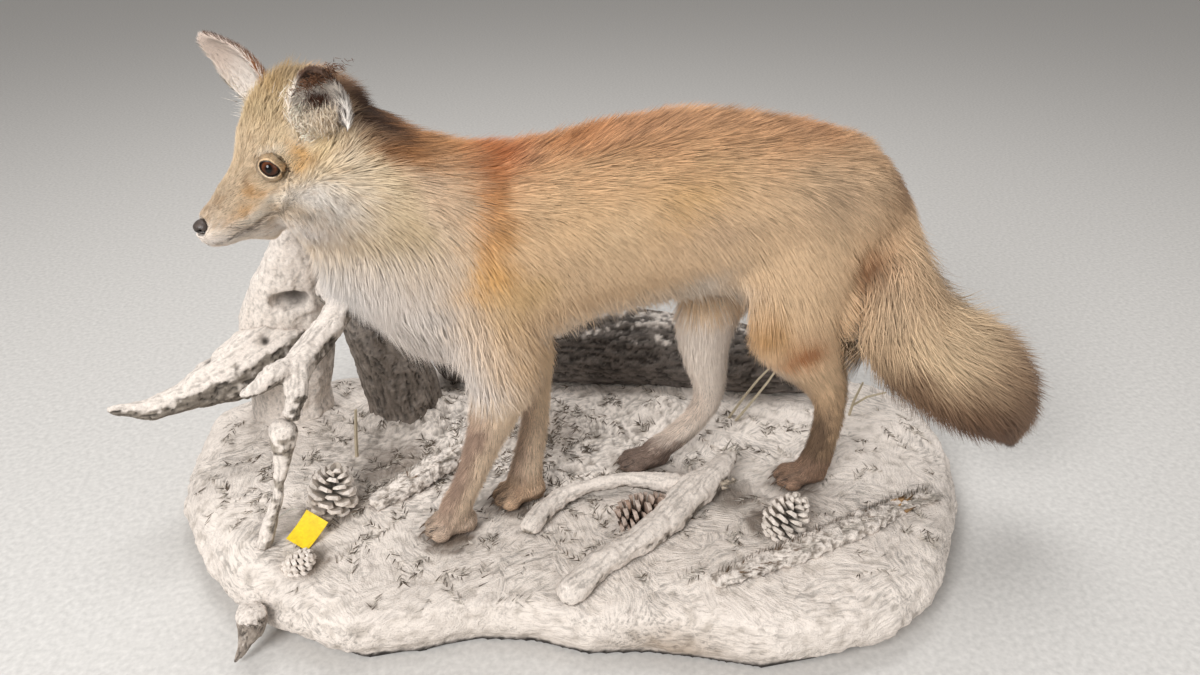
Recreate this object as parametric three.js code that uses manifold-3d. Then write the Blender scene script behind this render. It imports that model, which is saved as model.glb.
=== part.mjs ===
// A mounted red fox, standing in snow beside a driftwood stump, life size.
//
// Frame: millimetres, +Z up, z = 0 is the floor under the base. The fox faces -X. Its left side is
// the -Y side. The head is turned a little to the left and looks down. The outlines of the fox are
// those of its coat, and each solid is parted from the next by a thin gap.
import * as THREE from 'three';
import { mergeVertices } from 'three/addons/utils/BufferGeometryUtils.js';
import Module from 'manifold-3d';

const wasm = await Module();
wasm.setup();

// ---- Driving dimensions ----

const GAP = 0.3; // between pieces that touch
const SNOW = 60; // height of the base's top where the fox stands
const BASE_TURN = THREE.MathUtils.degToRad(-12.9); // the base's length, turned from the fox's
const LEFT = -1; // the fox's left is -Y
const RIGHT = 1;

const NOSE = [-320.5, -30.9, 400.9]; // tip of the nose
const HEAD_TURN = THREE.MathUtils.degToRad(24.7); // to the fox's left
const HEAD_DOWN = THREE.MathUtils.degToRad(20.1);
const HEAD_LENGTH = 138; // nose to the parting behind the ears
const EYE_RADIUS = 8.6;
const EYE = { back: 72, out: 24.5, up: 17.5 }; // from the tip of the nose, in the head's frame

const COATS = {
  cream: 0xdcc39a,
  tan: 0xc79a62,
  white: 0xe6ddcd,
  sock: 0x8a7058,
  tail: 0xd6c2a0,
  nose: 0x2b2725,
  eye: 0x5a3418,
  snow: 0xd9d3c7,
  driftwood: 0xb9b0a3,
  bark: 0x5f5750,
  cone: 0x9a8b7a,
  straw: 0xc9bfa8,
  tag: 0xf2dc1e,
  string: 0xeeeeea,
};

// ---- From three.js geometry to solids and back ----

// A closed geometry as a solid, with its shared corners merged.
function solidOf(geometry) {
  const bare = geometry.clone();
  bare.deleteAttribute('normal');
  bare.deleteAttribute('uv');
  const merged = mergeVertices(bare, 1e-4);
  return new wasm.Manifold(new wasm.Mesh({
    numProp: 3,
    vertProperties: new Float32Array(merged.attributes.position.array),
    triVerts: new Uint32Array(merged.index.array),
  }));
}

// A solid as a mesh with a name and a colour.
function meshOf(name, solid, color, roughness = 0.9) {
  const { vertProperties, triVerts } = solid.getMesh();
  const geometry = new THREE.BufferGeometry();
  geometry.setAttribute('position', new THREE.BufferAttribute(new Float32Array(vertProperties), 3));
  geometry.setIndex(new THREE.BufferAttribute(new Uint32Array(triVerts), 1));
  geometry.computeVertexNormals();
  const material = new THREE.MeshStandardMaterial({ color, roughness, metalness: 0 });
  const mesh = new THREE.Mesh(geometry, material);
  mesh.name = name;
  return mesh;
}

// All the solids in a list as one.
function join(solids) {
  return solids.reduce((whole, solid) => whole.add(solid));
}

// A box from its lowest to its highest corner, placed by a matrix.
function block(low, high, place = new THREE.Matrix4()) {
  const size = high.map((value, i) => value - low[i]);
  const geometry = new THREE.BoxGeometry(...size);
  geometry.translate(...low.map((value, i) => (value + high[i]) / 2));
  return solidOf(geometry.applyMatrix4(place));
}

// An egg shape: its middle, its three half sizes, and how it is placed.
function egg(center, radii, place = new THREE.Matrix4(), around = 10, along = 7) {
  const geometry = new THREE.SphereGeometry(1, around, along);
  geometry.scale(...radii);
  geometry.translate(...center);
  return solidOf(geometry.applyMatrix4(place));
}

// ---- Bodies lofted through sections ----

// A closed body along a path. Each row is [x, y, z, side, top, bottom]: a point of the path, the
// half width to each side, and the half heights towards `up` and away from it. Both ends are
// rounded, `grow` swells every section, and `pinch` narrows it towards `up`.
function loft(rows, options = {}) {
  const { around = 10, up = [0, 0, 1], grow = 0, round = 0.8, pinch = 0, place } = options;
  const points = rows.map((row) => new THREE.Vector3(row[0], row[1], row[2]));
  const rings = points.map((point, i) => {
    const forward = points[Math.min(i + 1, points.length - 1)].clone()
      .sub(points[Math.max(i - 1, 0)]).normalize();
    const [side, top, bottom] = rows[i].slice(3).map((value) => Math.max(value + grow, 0.6));
    return { point, forward, side, top, bottom };
  });
  const rounded = [
    ...endRings(rings[0], -1, round).reverse(),
    ...rings,
    ...endRings(rings[rings.length - 1], 1, round),
  ];
  const upward = new THREE.Vector3(...up);
  const positions = [];
  for (const ring of rounded) {
    const across = new THREE.Vector3().crossVectors(ring.forward, upward).normalize();
    const high = new THREE.Vector3().crossVectors(across, ring.forward);
    for (let k = 0; k < around; k += 1) {
      const angle = (2 * Math.PI * k) / around;
      const height = Math.sin(angle) * (Math.sin(angle) > 0 ? ring.top : ring.bottom);
      const width = Math.cos(angle) * (1 - pinch * Math.max(Math.sin(angle), 0)) * ring.side;
      const corner = ring.point.clone()
        .addScaledVector(across, width)
        .addScaledVector(high, height);
      positions.push(corner.x, corner.y, corner.z);
    }
  }
  const first = rounded[0];
  const last = rounded[rounded.length - 1];
  positions.push(...first.point.toArray(), ...last.point.toArray());
  const index = [];
  for (let r = 0; r < rounded.length - 1; r += 1) {
    for (let k = 0; k < around; k += 1) {
      const a = r * around + k;
      const b = r * around + ((k + 1) % around);
      index.push(a, a + around, b, b, a + around, b + around);
    }
  }
  const start = rounded.length * around;
  const end = (rounded.length - 1) * around;
  for (let k = 0; k < around; k += 1) {
    const next = (k + 1) % around;
    index.push(start, k, next, start + 1, end + next, end + k);
  }
  const geometry = new THREE.BufferGeometry();
  geometry.setAttribute('position', new THREE.Float32BufferAttribute(positions, 3));
  geometry.setIndex(index);
  if (place) geometry.applyMatrix4(place);
  return solidOf(geometry);
}

// Two smaller rings past an end, which round it off.
function endRings(ring, way, round) {
  const reach = round * Math.min(ring.side, (ring.top + ring.bottom) / 2);
  return [0.5, 0.9].map((part) => {
    const shrink = Math.sqrt(1 - part * part);
    return {
      point: ring.point.clone().addScaledVector(ring.forward, way * reach * part),
      forward: ring.forward,
      side: ring.side * shrink,
      top: ring.top * shrink,
      bottom: ring.bottom * shrink,
    };
  });
}

// A round stick through points [x, y, z, radius].
function stick(rows, options = {}) {
  const sections = rows.map(([x, y, z, radius]) => [x, y, z, radius, radius, radius]);
  return loft(sections, { around: 7, ...options });
}

// ---- Parting ----

// All of space on one side of a plane, as a block far larger than the model.
function beyond(point, direction) {
  const reach = 3000;
  const along = new THREE.Vector3(...direction).normalize();
  const turn = new THREE.Quaternion().setFromUnitVectors(new THREE.Vector3(1, 0, 0), along);
  const place = new THREE.Matrix4().compose(
    new THREE.Vector3(...point),
    turn,
    new THREE.Vector3(1, 1, 1),
  );
  return block([GAP / 2, -reach, -reach], [reach, reach, reach], place);
}

// A solid parted by a plane: what lies towards `direction`, and the rest.
function parted(solid, point, direction) {
  const back = direction.map((value) => -value);
  return [
    solid.intersect(beyond(point, direction)),
    solid.intersect(beyond(point, back)),
  ];
}

// ---- The snow-covered base ----

// Its outline seen from above, in its own frame: X along its length, Y away from the front.
const BASE_OUTLINE = [
  [-458, 112], [-440, 20], [-400, -54], [-346, -118], [-272, -166], [-200, -188], [-150, -172],
  [-95, -160], [-40, -166], [10, -182], [60, -179], [120, -187], [180, -199], [240, -184],
  [297, -162], [342, -120], [378, -50], [407, 20], [425, 100], [418, 182], [375, 238], [290, 268],
  [160, 286], [20, 288], [-140, 282], [-290, 262], [-405, 224], [-460, 170],
];
const BASE_SECTORS = 40;
// Rings from the underside up and in: how much of the outline, and the height.
const BASE_SIDE = [[0.92, 0], [0.94, 12], [0.99, 20], [1, 32], [0.965, 52]];
const BASE_TOP = [0.9, 0.7, 0.48, 0.25];
// Drifts and hollows on top: place, reach and height.
const DRIFTS = [
  [-342, -108, 80, 12], [-300, 60, 90, 5], [105, 205, 70, 14], [-40, 160, 80, 8],
  [330, 60, 80, 6], [150, -150, 70, 4], [-110, -160, 60, -4], [20, -30, 50, -3], [-390, 130, 70, 9],
];

function snowHeight(x, y) {
  const rise = DRIFTS.reduce((sum, [cx, cy, reach, height]) => {
    const away = ((x - cx) ** 2 + (y - cy) ** 2) / reach ** 2;
    return sum + height * Math.exp(-away);
  }, 0);
  return SNOW + rise;
}

function snowBase(grow, place = new THREE.Matrix4()) {
  const loop = new THREE.CatmullRomCurve3(
    BASE_OUTLINE.map(([x, y]) => new THREE.Vector3(x, y, 0)),
    true,
  ).getSpacedPoints(BASE_SECTORS).slice(0, BASE_SECTORS);
  const rings = [
    ...BASE_SIDE.map(([part, height]) => ({ part, height: () => height })),
    ...BASE_TOP.map((part) => ({ part, height: (x, y) => snowHeight(x, y) - 8 * part ** 8 })),
  ];
  const positions = [];
  for (const { part, height } of rings) {
    for (const corner of loop) {
      const away = Math.hypot(corner.x, corner.y);
      const x = corner.x * (part + grow / away);
      const y = corner.y * (part + grow / away);
      positions.push(x, y, height(x, y) + (height(x, y) > SNOW / 2 ? grow : 0));
    }
  }
  positions.push(0, 0, 0, 0, 0, snowHeight(0, 0) + grow);
  const bottom = rings.length * BASE_SECTORS;
  const index = [];
  for (let k = 0; k < BASE_SECTORS; k += 1) {
    const next = (k + 1) % BASE_SECTORS;
    for (let r = 0; r < rings.length - 1; r += 1) {
      const a = r * BASE_SECTORS + k;
      const b = r * BASE_SECTORS + next;
      index.push(a, b, b + BASE_SECTORS, a, b + BASE_SECTORS, a + BASE_SECTORS);
    }
    const top = (rings.length - 1) * BASE_SECTORS;
    index.push(bottom, next, k, bottom + 1, top + k, top + next);
  }
  const geometry = new THREE.BufferGeometry();
  geometry.setAttribute('position', new THREE.Float32BufferAttribute(positions, 3));
  geometry.setIndex(index);
  return solidOf(geometry.applyMatrix4(place));
}

const basePlace = new THREE.Matrix4().makeRotationZ(BASE_TURN);
const snowClear = snowBase(GAP, basePlace); // what rests on the snow is cut by this

// ---- The fox's head ----

const headPlace = new THREE.Matrix4().makeTranslation(...NOSE)
  .multiply(new THREE.Matrix4().makeRotationZ(HEAD_TURN))
  .multiply(new THREE.Matrix4().makeRotationY(-HEAD_DOWN));

// The head in its own frame: X back from the tip of the nose, Y to the fox's right, Z up.
const HEAD_ROWS = [
  [3, 0, -7, 9, 7.5, 9], [8, 0, -9, 12.5, 12.5, 15.5], [18, 0, -11, 15.5, 18.5, 19.5],
  [32, 0, -11, 18, 24, 22], [46, 0, -8, 21, 26.5, 26], [58, 0, -3, 24, 29, 32],
  [70, 0, 4, 27.5, 34, 41], [84, 0, 11, 33, 42, 50], [104, 0, 17, 43, 52, 61],
  [125, 0, 19, 52, 54, 65], [143, 0, 17, 53, 46, 63], [157, 0, 9, 45, 35, 54],
];
const HEAD_PINCH = 0.35; // the skull is narrower between the ears than at the cheeks

function headBody(grow) {
  return loft(HEAD_ROWS, { around: 12, place: headPlace, grow, round: 0.35, pinch: HEAD_PINCH });
}

function eyeball(side, grow) {
  const radius = EYE_RADIUS + grow;
  return egg([EYE.back, side * EYE.out, EYE.up], [radius, radius, radius], headPlace, 10, 6);
}

function nosePad(grow) {
  return egg([7, 0, -5], [7 + grow, 8.5 + grow, 7.5 + grow], headPlace, 8, 6);
}

// An ear: a cup with a thin wall, from its root to its tip, open on one side. The rows hold how
// far along it lies, its half width, and its depth behind the path.
const EAR_ROWS = [
  [0, 22, 15], [0.2, 27, 16], [0.42, 28, 14], [0.64, 24, 11], [0.84, 16, 7], [0.97, 9, 4],
];
const EAR_WALL = 3.5;
const EARS = {
  left: { root: [107, -50, 21], tip: [128, -62, 80], open: [-0.5, -0.85, 0.1], broad: 0.9 },
  right: { root: [100, 42, 36], tip: [94, 73, 102], open: [-0.85, -0.4, 0.2], broad: 0.8 },
};

// The ear's outer shape, and the hollow of its cup, which runs on into the head.
function earSolids({ root, tip, open, broad }) {
  const from = new THREE.Vector3(...root);
  const to = new THREE.Vector3(...tip);
  const axis = to.clone().sub(from).normalize();
  const out = new THREE.Vector3(...open).addScaledVector(axis, -new THREE.Vector3(...open).dot(axis))
    .normalize();
  const bend = (part) => -9 * Math.sin(Math.PI * Math.min(part, 1)); // the cup bows backwards
  const rows = (forward, thinner, front) => EAR_ROWS.map(([part, side, depth]) => {
    const point = from.clone().lerp(to, part).addScaledVector(out, bend(part) + forward);
    const half = Math.max(broad * side - thinner, 1.5);
    return [...point.toArray(), half, front, Math.max(depth - thinner, 1.5)];
  });
  const options = { around: 10, up: out.toArray(), place: headPlace, round: 0.5 };
  return { outer: loft(rows(0, 0, 4), options), hollow: loft(rows(1.5, EAR_WALL, 26), options) };
}

// ---- The fox's body ----

// Rump to chest, seen from the side: the path's point, then side, top and bottom.
const TRUNK_ROWS = [
  [318, 0, 342, 22, 22, 26], [296, 0, 346, 44, 50, 48], [262, 0, 352, 62, 76, 72],
  [215, 0, 362, 69, 83, 84], [165, 0, 371, 70, 86, 88], [96, 0, 376, 69, 92, 91],
  [45, 0, 371, 71, 92, 89], [-5, 0, 362, 74, 90, 85], [-50, 0, 352, 76, 97, 92],
  [-95, 0, 344, 76, 99, 94], [-135, 0, 344, 70, 98, 98], [-172, 0, 347, 62, 84, 76],
  [-204, 0, 352, 48, 60, 50],
];
// Withers to the back of the head.
const NECK_ROWS = [
  [-88, 0, 370, 72, 78, 88], [-125, -1, 386, 69, 66, 86], [-160, -2, 402, 64, 61, 82],
  [-195, -3, 425, 58, 57, 78], [-214, -3, 444, 48, 50, 66],
];

function trunkBody(grow) {
  return loft(TRUNK_ROWS, { around: 12, grow });
}

function neckBody(grow) {
  return loft(NECK_ROWS, { around: 12, grow, round: 0.3 });
}

function shoulder(side, grow) {
  return egg([-84, side * 34, 342], [58 + grow, 46 + grow, 86 + grow], undefined, 10, 6);
}

// Each leg runs from inside the body down to the ankle or wrist, with half depths to the front
// and the back. `top` is where it is parted from the body, and `ankle` from its foot.
const LEGS = {
  foreleg_left: {
    rows: [
      [-88, -42, 300, 30, 42, 42], [-86, -42, 252, 28, 37, 37], [-86, -41, 222, 24, 32, 31],
      [-98, -40, 187, 20, 24, 24], [-109, -38, 157, 17, 20, 20], [-117, -36, 134, 16, 18, 18],
      [-126, -35, 111, 16, 18, 17], [-136, -34, 94, 17, 19, 18], [-141, -33, 80, 17, 16, 18],
    ],
    top: 236,
    ankle: [-131, -35, 101],
    heel: [-127, -33],
    toes: [-160, -31],
    width: 20,
  },
  foreleg_right: {
    rows: [
      [-62, 36, 300, 28, 36, 38], [-50, 32, 250, 23, 28, 28], [-45, 27, 205, 18, 21, 21],
      [-46, 21, 178, 16, 18, 18], [-48, 16, 148, 15, 17, 17], [-55, 11, 115, 15, 19, 19],
      [-61, 7, 92, 16, 20, 20], [-66, 5, 80, 17, 18, 19],
    ],
    top: 236,
    ankle: [-57, 9, 102],
    heel: [-52, 4],
    toes: [-88, 1],
    width: 20,
  },
  hindleg_left: {
    rows: [
      [208, -32, 350, 34, 58, 62], [200, -40, 302, 36, 58, 62], [198, -41, 262, 33, 54, 54],
      [204, -40, 240, 28, 48, 48], [222, -39, 213, 22, 35, 37], [238, -38, 190, 18, 27, 28],
      [249, -38, 166, 16, 20, 21], [250, -38, 138, 15, 19, 20], [247, -37, 108, 15, 19, 20],
      [242, -36, 88, 16, 19, 20], [238, -36, 79, 16, 17, 19],
    ],
    top: 262,
    ankle: [251, -38, 152],
    heel: [246, -36],
    toes: [209, -33],
    width: 20,
  },
  hindleg_right: {
    rows: [
      [172, 32, 340, 32, 56, 60], [152, 38, 292, 30, 50, 52], [142, 38, 256, 27, 44, 44],
      [135, 36, 228, 24, 38, 38], [136, 34, 200, 20, 30, 29], [140, 33, 176, 18, 25, 24],
      [144, 32, 152, 16, 21, 21], [142, 32, 132, 15, 18, 20], [127, 31, 110, 15, 17, 18],
      [104, 31, 92, 15, 16, 17], [84, 30, 80, 16, 14, 15],
    ],
    top: 262,
    ankle: [143, 32, 140],
    heel: [92, 31],
    toes: [53, 29],
    width: 19,
  },
};

// A foot on the snow, with four toes.
function paw({ heel, toes, width }) {
  const ahead = new THREE.Vector2(toes[0] - heel[0], toes[1] - heel[1]).normalize();
  const across = new THREE.Vector2(-ahead.y, ahead.x);
  const at = (from, forward, sideways, height) => [
    from[0] + ahead.x * forward + across.x * sideways,
    from[1] + ahead.y * forward + across.y * sideways,
    SNOW + height,
  ];
  const sole = loft([
    [...at(heel, 0, 0, 13), 0.74 * width, 13, 16],
    [...at(heel, 16, 0, 12), 0.84 * width, 13, 16],
    [...at(toes, -8, 0, 10), 0.96 * width, 12, 14],
  ], { around: 6 });
  const turn = new THREE.Matrix4().makeRotationZ(Math.atan2(ahead.y, ahead.x));
  const toe = (sideways, forward) => {
    const [x, y, z] = at(toes, forward, sideways * width, 7);
    const place = new THREE.Matrix4().makeTranslation(x, y, z).multiply(turn);
    return egg([0, 0, 0], [12, 0.34 * width, 10], place, 6, 4);
  };
  return join([sole, toe(-0.28, 0), toe(0.28, 0), toe(-0.74, -7), toe(0.74, -7)]);
}

function leg(name, grow) {
  const { rows, heel, toes, width } = LEGS[name];
  const options = { around: 8, up: [-1, 0, 0], grow };
  return loft(rows, options).add(paw({ heel, toes, width: width + grow }));
}

// The brush, from its root under the rump round beside the left thigh to its tip.
const TAIL_ROWS = [
  [302, -4, 352, 22, 22, 24], [306, -16, 326, 32, 30, 32], [300, -36, 296, 42, 44, 46],
  [300, -54, 262, 50, 54, 56], [328, -66, 234, 54, 60, 62], [366, -70, 208, 55, 61, 64],
  [400, -70, 180, 52, 57, 60], [427, -69, 150, 40, 45, 46], [443, -68, 122, 24, 27, 26],
  [452, -68, 102, 9, 11, 10],
];
const TAIL_PARTINGS = [
  { point: [299, -42, 285], direction: [0, -0.45, -0.9] },
  { point: [384, -70, 196], direction: [0.82, 0, -0.57] },
];

function buildFox() {
  const fox = new THREE.Group();
  const legNames = Object.keys(LEGS);
  const feet = [];
  const shanks = [];
  const haunches = [];
  for (const name of legNames) {
    const whole = leg(name, 0).subtract(snowClear);
    const [upper, lower] = parted(whole, [0, 0, LEGS[name].top], [0, 0, 1]);
    const { rows, ankle } = LEGS[name];
    const below = rows[rows.length - 1];
    const down = ankle.map((value, i) => below[i] - value);
    const [foot, shank] = parted(lower, ankle, down);
    feet.push(meshOf(name.replace('leg', 'foot'), foot, COATS.sock));
    shanks.push(meshOf(name, shank, COATS.tan));
    haunches.push(upper);
  }

  const body = join([
    trunkBody(0), neckBody(0), headBody(0), shoulder(LEFT, 0), shoulder(RIGHT, 0), ...haunches,
  ]);
  const ears = { left: earSolids(EARS.left), right: earSolids(EARS.right) };
  const headRoom = (gap) => block(
    [-60, -130, -56 - gap],
    [HEAD_LENGTH + gap, 130, 150],
    headPlace,
  );
  const head = body.intersect(headRoom(0))
    .subtract(eyeball(LEFT, GAP))
    .subtract(eyeball(RIGHT, GAP))
    .subtract(nosePad(GAP))
    .subtract(ears.left.hollow)
    .subtract(ears.right.hollow);
  const [neck, trunk] = parted(body.subtract(headRoom(GAP)), [-128, 0, 395], [-0.83, 0, 0.55]);

  const headClear = headBody(GAP).add(neckBody(GAP));
  const ear = ({ outer, hollow }) => outer.subtract(hollow).subtract(headClear);
  const tailClear = join([
    trunkBody(GAP), leg('hindleg_left', GAP),
  ]);
  const tail = loft(TAIL_ROWS, { up: [1, 0, 0.4] }).subtract(tailClear);
  const [tailEnd, tailStart] = parted(tail, TAIL_PARTINGS[0].point, TAIL_PARTINGS[0].direction);
  const [tailTip, tailMiddle] = parted(tailEnd, TAIL_PARTINGS[1].point, TAIL_PARTINGS[1].direction);

  fox.add(
    meshOf('head', head, COATS.cream),
    meshOf('nose_pad', nosePad(0), COATS.nose, 0.4),
    meshOf('eye_left', eyeball(LEFT, 0), COATS.eye, 0.1),
    meshOf('eye_right', eyeball(RIGHT, 0), COATS.eye, 0.1),
    meshOf('ear_left', ear(ears.left), COATS.white),
    meshOf('ear_right', ear(ears.right), COATS.white),
    meshOf('neck', neck, COATS.white),
    meshOf('trunk', trunk, COATS.cream),
    meshOf('tail_root', tailStart, COATS.tan),
    meshOf('tail_middle', tailMiddle, COATS.tail),
    meshOf('tail_tip', tailTip, COATS.tail),
    ...shanks,
    ...feet,
  );
  return fox;
}

// ---- The driftwood stump and what grows from it ----

const STUMP_ROWS = [
  [-305, 228, 48, 50, 54, 46], [-303, 226, 95, 44, 50, 42], [-299, 212, 150, 38, 54, 52],
  [-296, 198, 200, 33, 50, 50], [-284, 182, 245, 27, 40, 40], [-276, 166, 285, 20, 26, 26],
  [-273, 152, 318, 12, 13, 13], [-271, 146, 336, 8, 8, 8],
];
const STUMP_HOLLOW = { center: [-284, 152, 238], radii: [24, 20, 13] };
const LEFT_ARM = [
  [-294, 186, 184, 36], [-319, 172, 174, 36], [-342, 160, 167, 33], [-360, 148, 162, 30],
  [-377, 138, 160, 24], [-398, 124, 158, 16], [-429, 108, 155, 12], [-462, 98, 167, 6],
];
const FRONT_ARM = [
  [-236, 150, 252, 20], [-226, 118, 252, 17], [-240, 88, 240, 15], [-258, 62, 230, 15],
  [-272, 32, 226, 15], [-272, 10, 210, 11], [-278, 6, 194, 9],
];
const FRONT_STUB = [[-272, 34, 228, 13], [-290, 16, 232, 10], [-304, 8, 226, 8], [-316, 6, 220, 6]];
const PROP = [
  [-288, 0, 180, 14], [-290, -1, 168, 13], [-291, -2, 158, 9], [-293, -6, 148, 7],
  [-298, -12, 133, 6], [-303, -15, 114, 6], [-313, -18, 90, 7], [-322, -24, 66, 7],
  [-326, -26, 54, 7],
];
const RIGHT_ROOT = [
  [-226, 190, 226, 20], [-207, 190, 188, 32], [-190, 194, 145, 40], [-180, 200, 98, 44],
  [-174, 206, 54, 46],
];
const BACK_LOG = [
  [-106, 268, 98, 44], [-42, 262, 101, 50], [35, 242, 103, 52], [111, 217, 102, 52],
  [225, 176, 96, 46], [318, 145, 90, 36],
];
const ROOT_FOOT = [
  [-330, -92, 44, 26, 18, 18], [-335, -98, 30, 15, 15, 20], [-344, -102, 16, 8, 8, 11],
  [-352, -106, 5, 3, 3, 4],
];

function buildDriftwood() {
  const wood = new THREE.Group();
  const stumpBody = (grow) => loft(STUMP_ROWS, { around: 10, up: [-1, 0, 0], grow });
  const hollow = egg(STUMP_HOLLOW.center, STUMP_HOLLOW.radii);
  const stump = stumpBody(0).subtract(snowClear).subtract(hollow);
  const stumpClear = stumpBody(GAP);
  const leftArm = stick(LEFT_ARM).subtract(stumpClear);
  const frontBody = (grow) => stick(FRONT_ARM, { grow }).add(stick(FRONT_STUB, { grow }));
  const frontArm = frontBody(0).subtract(stumpClear);
  const prop = stick(PROP).subtract(frontBody(GAP)).subtract(snowClear);
  const rootBody = (grow) => stick(RIGHT_ROOT, { around: 10, grow });
  const rightRoot = rootBody(0).subtract(stumpClear).subtract(snowClear).subtract(frontBody(GAP));
  const backLog = stick(BACK_LOG, { around: 10 }).subtract(snowClear).subtract(rootBody(GAP));
  const rootFoot = loft(ROOT_FOOT, { around: 10, up: [-1, 0, 0] }).subtract(snowClear);
  wood.add(
    meshOf('stump', stump, COATS.driftwood),
    meshOf('stump_arm_left', leftArm, COATS.driftwood),
    meshOf('stump_arm_front', frontArm, COATS.driftwood),
    meshOf('stump_prop', prop, COATS.driftwood),
    meshOf('stump_root_right', rightRoot, COATS.driftwood),
    meshOf('log_back', backLog, COATS.bark),
    meshOf('root_foot', rootFoot, COATS.driftwood),
  );
  return wood;
}

// ---- What lies on the snow ----

const ANTLER_MAIN = [
  [160, -4, 84, 8], [140, -22, 80, 13], [106, -40, 74, 18], [66, -76, 70, 17], [24, -104, 69, 15],
  [-14, -122, 68, 14], [-46, -148, 66, 13],
];
const ANTLER_SIDE = [
  [106, -40, 74, 14], [76, -20, 74, 10], [42, -7, 74, 8], [6, -8, 72, 8], [-24, -13, 69, 9],
  [-48, -27, 66, 11], [-66, -48, 64, 12],
];
const SPRIG_RIGHT = [
  [88, -163, 60, 13, 9, 6], [136, -151, 61, 17, 11, 6], [184, -139, 61, 18, 13, 6],
  [246, -119, 60, 18, 12, 6], [308, -99, 58, 15, 12, 6], [352, -88, 56, 9, 8, 6],
];
const SPRIG_LEFT = [
  [-216, 24, 62, 14, 9, 6], [-182, 46, 64, 19, 14, 6], [-148, 72, 64, 18, 14, 6],
  [-122, 98, 64, 12, 9, 6],
];
const STEMS = {
  grass_stem_1: [[200, 89, 60, 1.7], [225, 96, 84, 1.6], [243, 100, 104, 1.4], [254, 102, 120, 1.2]],
  grass_stem_2: [[193, 95, 60, 1.7], [216, 101, 88, 1.6], [232, 104, 106, 1.4], [243, 104, 118, 1.2]],
  twig_left: [[-236, 113, 58, 2.2], [-233, 114, 90, 2], [-229, 113, 124, 1.6]],
};
const TWIG_RIGHT = [[338, 72, 56, 1.8], [344, 75, 78, 1.7], [354, 78, 100, 1.3]];
const TWIG_RIGHT_FORK = [[342, 74, 72, 1.5], [362, 77, 80, 1.4], [386, 78, 82, 1.2]];

// Pine cones: where, half width, half height, and how far each one leans.
const CONES = {
  pine_cone_left: { at: [-257, 32, 80], radius: 24, half: 26, lean: 0.25 },
  pine_cone_right: { at: [183, -105, 76], radius: 20, half: 22, lean: 0.5 },
  pine_cone_middle: { at: [50, -56, 68], radius: 19, half: 26, lean: 1.35 },
  pine_cone_small: { at: [-287, -54, 66], radius: 12, half: 13, lean: 0.9 },
};
const CONE_TIERS = 4;

// A cone turned as a stack of tiers, each one a ring of scales.
function pineCone({ at, radius, half, lean }) {
  const profile = [new THREE.Vector2(0, -half)];
  for (let tier = 0; tier < CONE_TIERS; tier += 1) {
    const low = -half + (2 * half * (tier + 0.25)) / CONE_TIERS;
    const high = -half + (2 * half * (tier + 0.8)) / CONE_TIERS;
    const wide = radius * Math.sin(Math.PI * (0.16 + (0.72 * (tier + 0.5)) / CONE_TIERS));
    profile.push(new THREE.Vector2(0.72 * wide, low), new THREE.Vector2(wide, high));
  }
  profile.push(new THREE.Vector2(0, half));
  const geometry = new THREE.LatheGeometry(profile, 7);
  geometry.rotateX(Math.PI / 2);
  geometry.rotateY(lean);
  geometry.translate(...at);
  return solidOf(geometry);
}

// The lot tag lies against the snow, tied to the prop by a short loop of string.
const TAG = { width: 26, height: 33, thick: 0.8, center: [-283, -13, 75] };
const TAG_ACROSS = new THREE.Vector3(0.76, -0.6, -0.24).normalize();
const TAG_DOWN = new THREE.Vector3(-0.4, -0.75, -0.5);
const TAG_STRING = [[-304, -10.5, 91, 0.8], [-296, -4, 92, 0.8], [-289, 0.5, 89, 0.8]];

function tagPlace() {
  const face = new THREE.Vector3().crossVectors(TAG_ACROSS, TAG_DOWN).normalize();
  const down = new THREE.Vector3().crossVectors(face, TAG_ACROSS);
  return new THREE.Matrix4().makeBasis(TAG_ACROSS, down, face).setPosition(...TAG.center);
}

function buildLitter() {
  const litter = new THREE.Group();
  const rest = (solid) => solid.subtract(snowClear);
  const mainBody = (grow) => stick(ANTLER_MAIN, { grow });
  litter.add(
    meshOf('fallen_branch', rest(mainBody(0)), COATS.driftwood),
    meshOf('fallen_branch_side', rest(stick(ANTLER_SIDE)).subtract(mainBody(GAP)), COATS.driftwood),
    meshOf('fir_sprig_right', rest(loft(SPRIG_RIGHT, { around: 8 })), COATS.snow),
    meshOf('fir_sprig_left', rest(loft(SPRIG_LEFT, { around: 8 })), COATS.snow),
    meshOf(
      'twig_right',
      rest(stick(TWIG_RIGHT, { around: 5 }).add(stick(TWIG_RIGHT_FORK, { around: 5 }))),
      COATS.straw,
    ),
  );
  for (const [name, rows] of Object.entries(STEMS)) {
    litter.add(meshOf(name, rest(stick(rows, { around: 5 })), COATS.straw));
  }
  for (const [name, cone] of Object.entries(CONES)) {
    const solid = rest(pineCone(cone)).subtract(mainBody(GAP));
    litter.add(meshOf(name, solid, COATS.cone));
  }
  const half = [TAG.width / 2, TAG.height / 2, TAG.thick / 2];
  litter.add(
    meshOf('tag', block(half.map((value) => -value), half, tagPlace()), COATS.tag, 0.6),
    meshOf('tag_string', stick(TAG_STRING, { around: 5 }), COATS.string),
  );
  return litter;
}

// ---- The whole mount ----

const mount = new THREE.Group();
const base = new THREE.Group();
base.rotation.z = BASE_TURN;
base.add(meshOf('snow_base', snowBase(0), COATS.snow));
mount.add(base, buildFox(), buildDriftwood(), buildLitter());

export default mount;
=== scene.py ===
"""A mounted red fox, standing in snow beside a driftwood stump: the looks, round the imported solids."""
import math

import bmesh
import bpy
import numpy as np
from mathutils import Matrix, Vector, kdtree, noise
from mathutils.bvhtree import BVHTree


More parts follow.
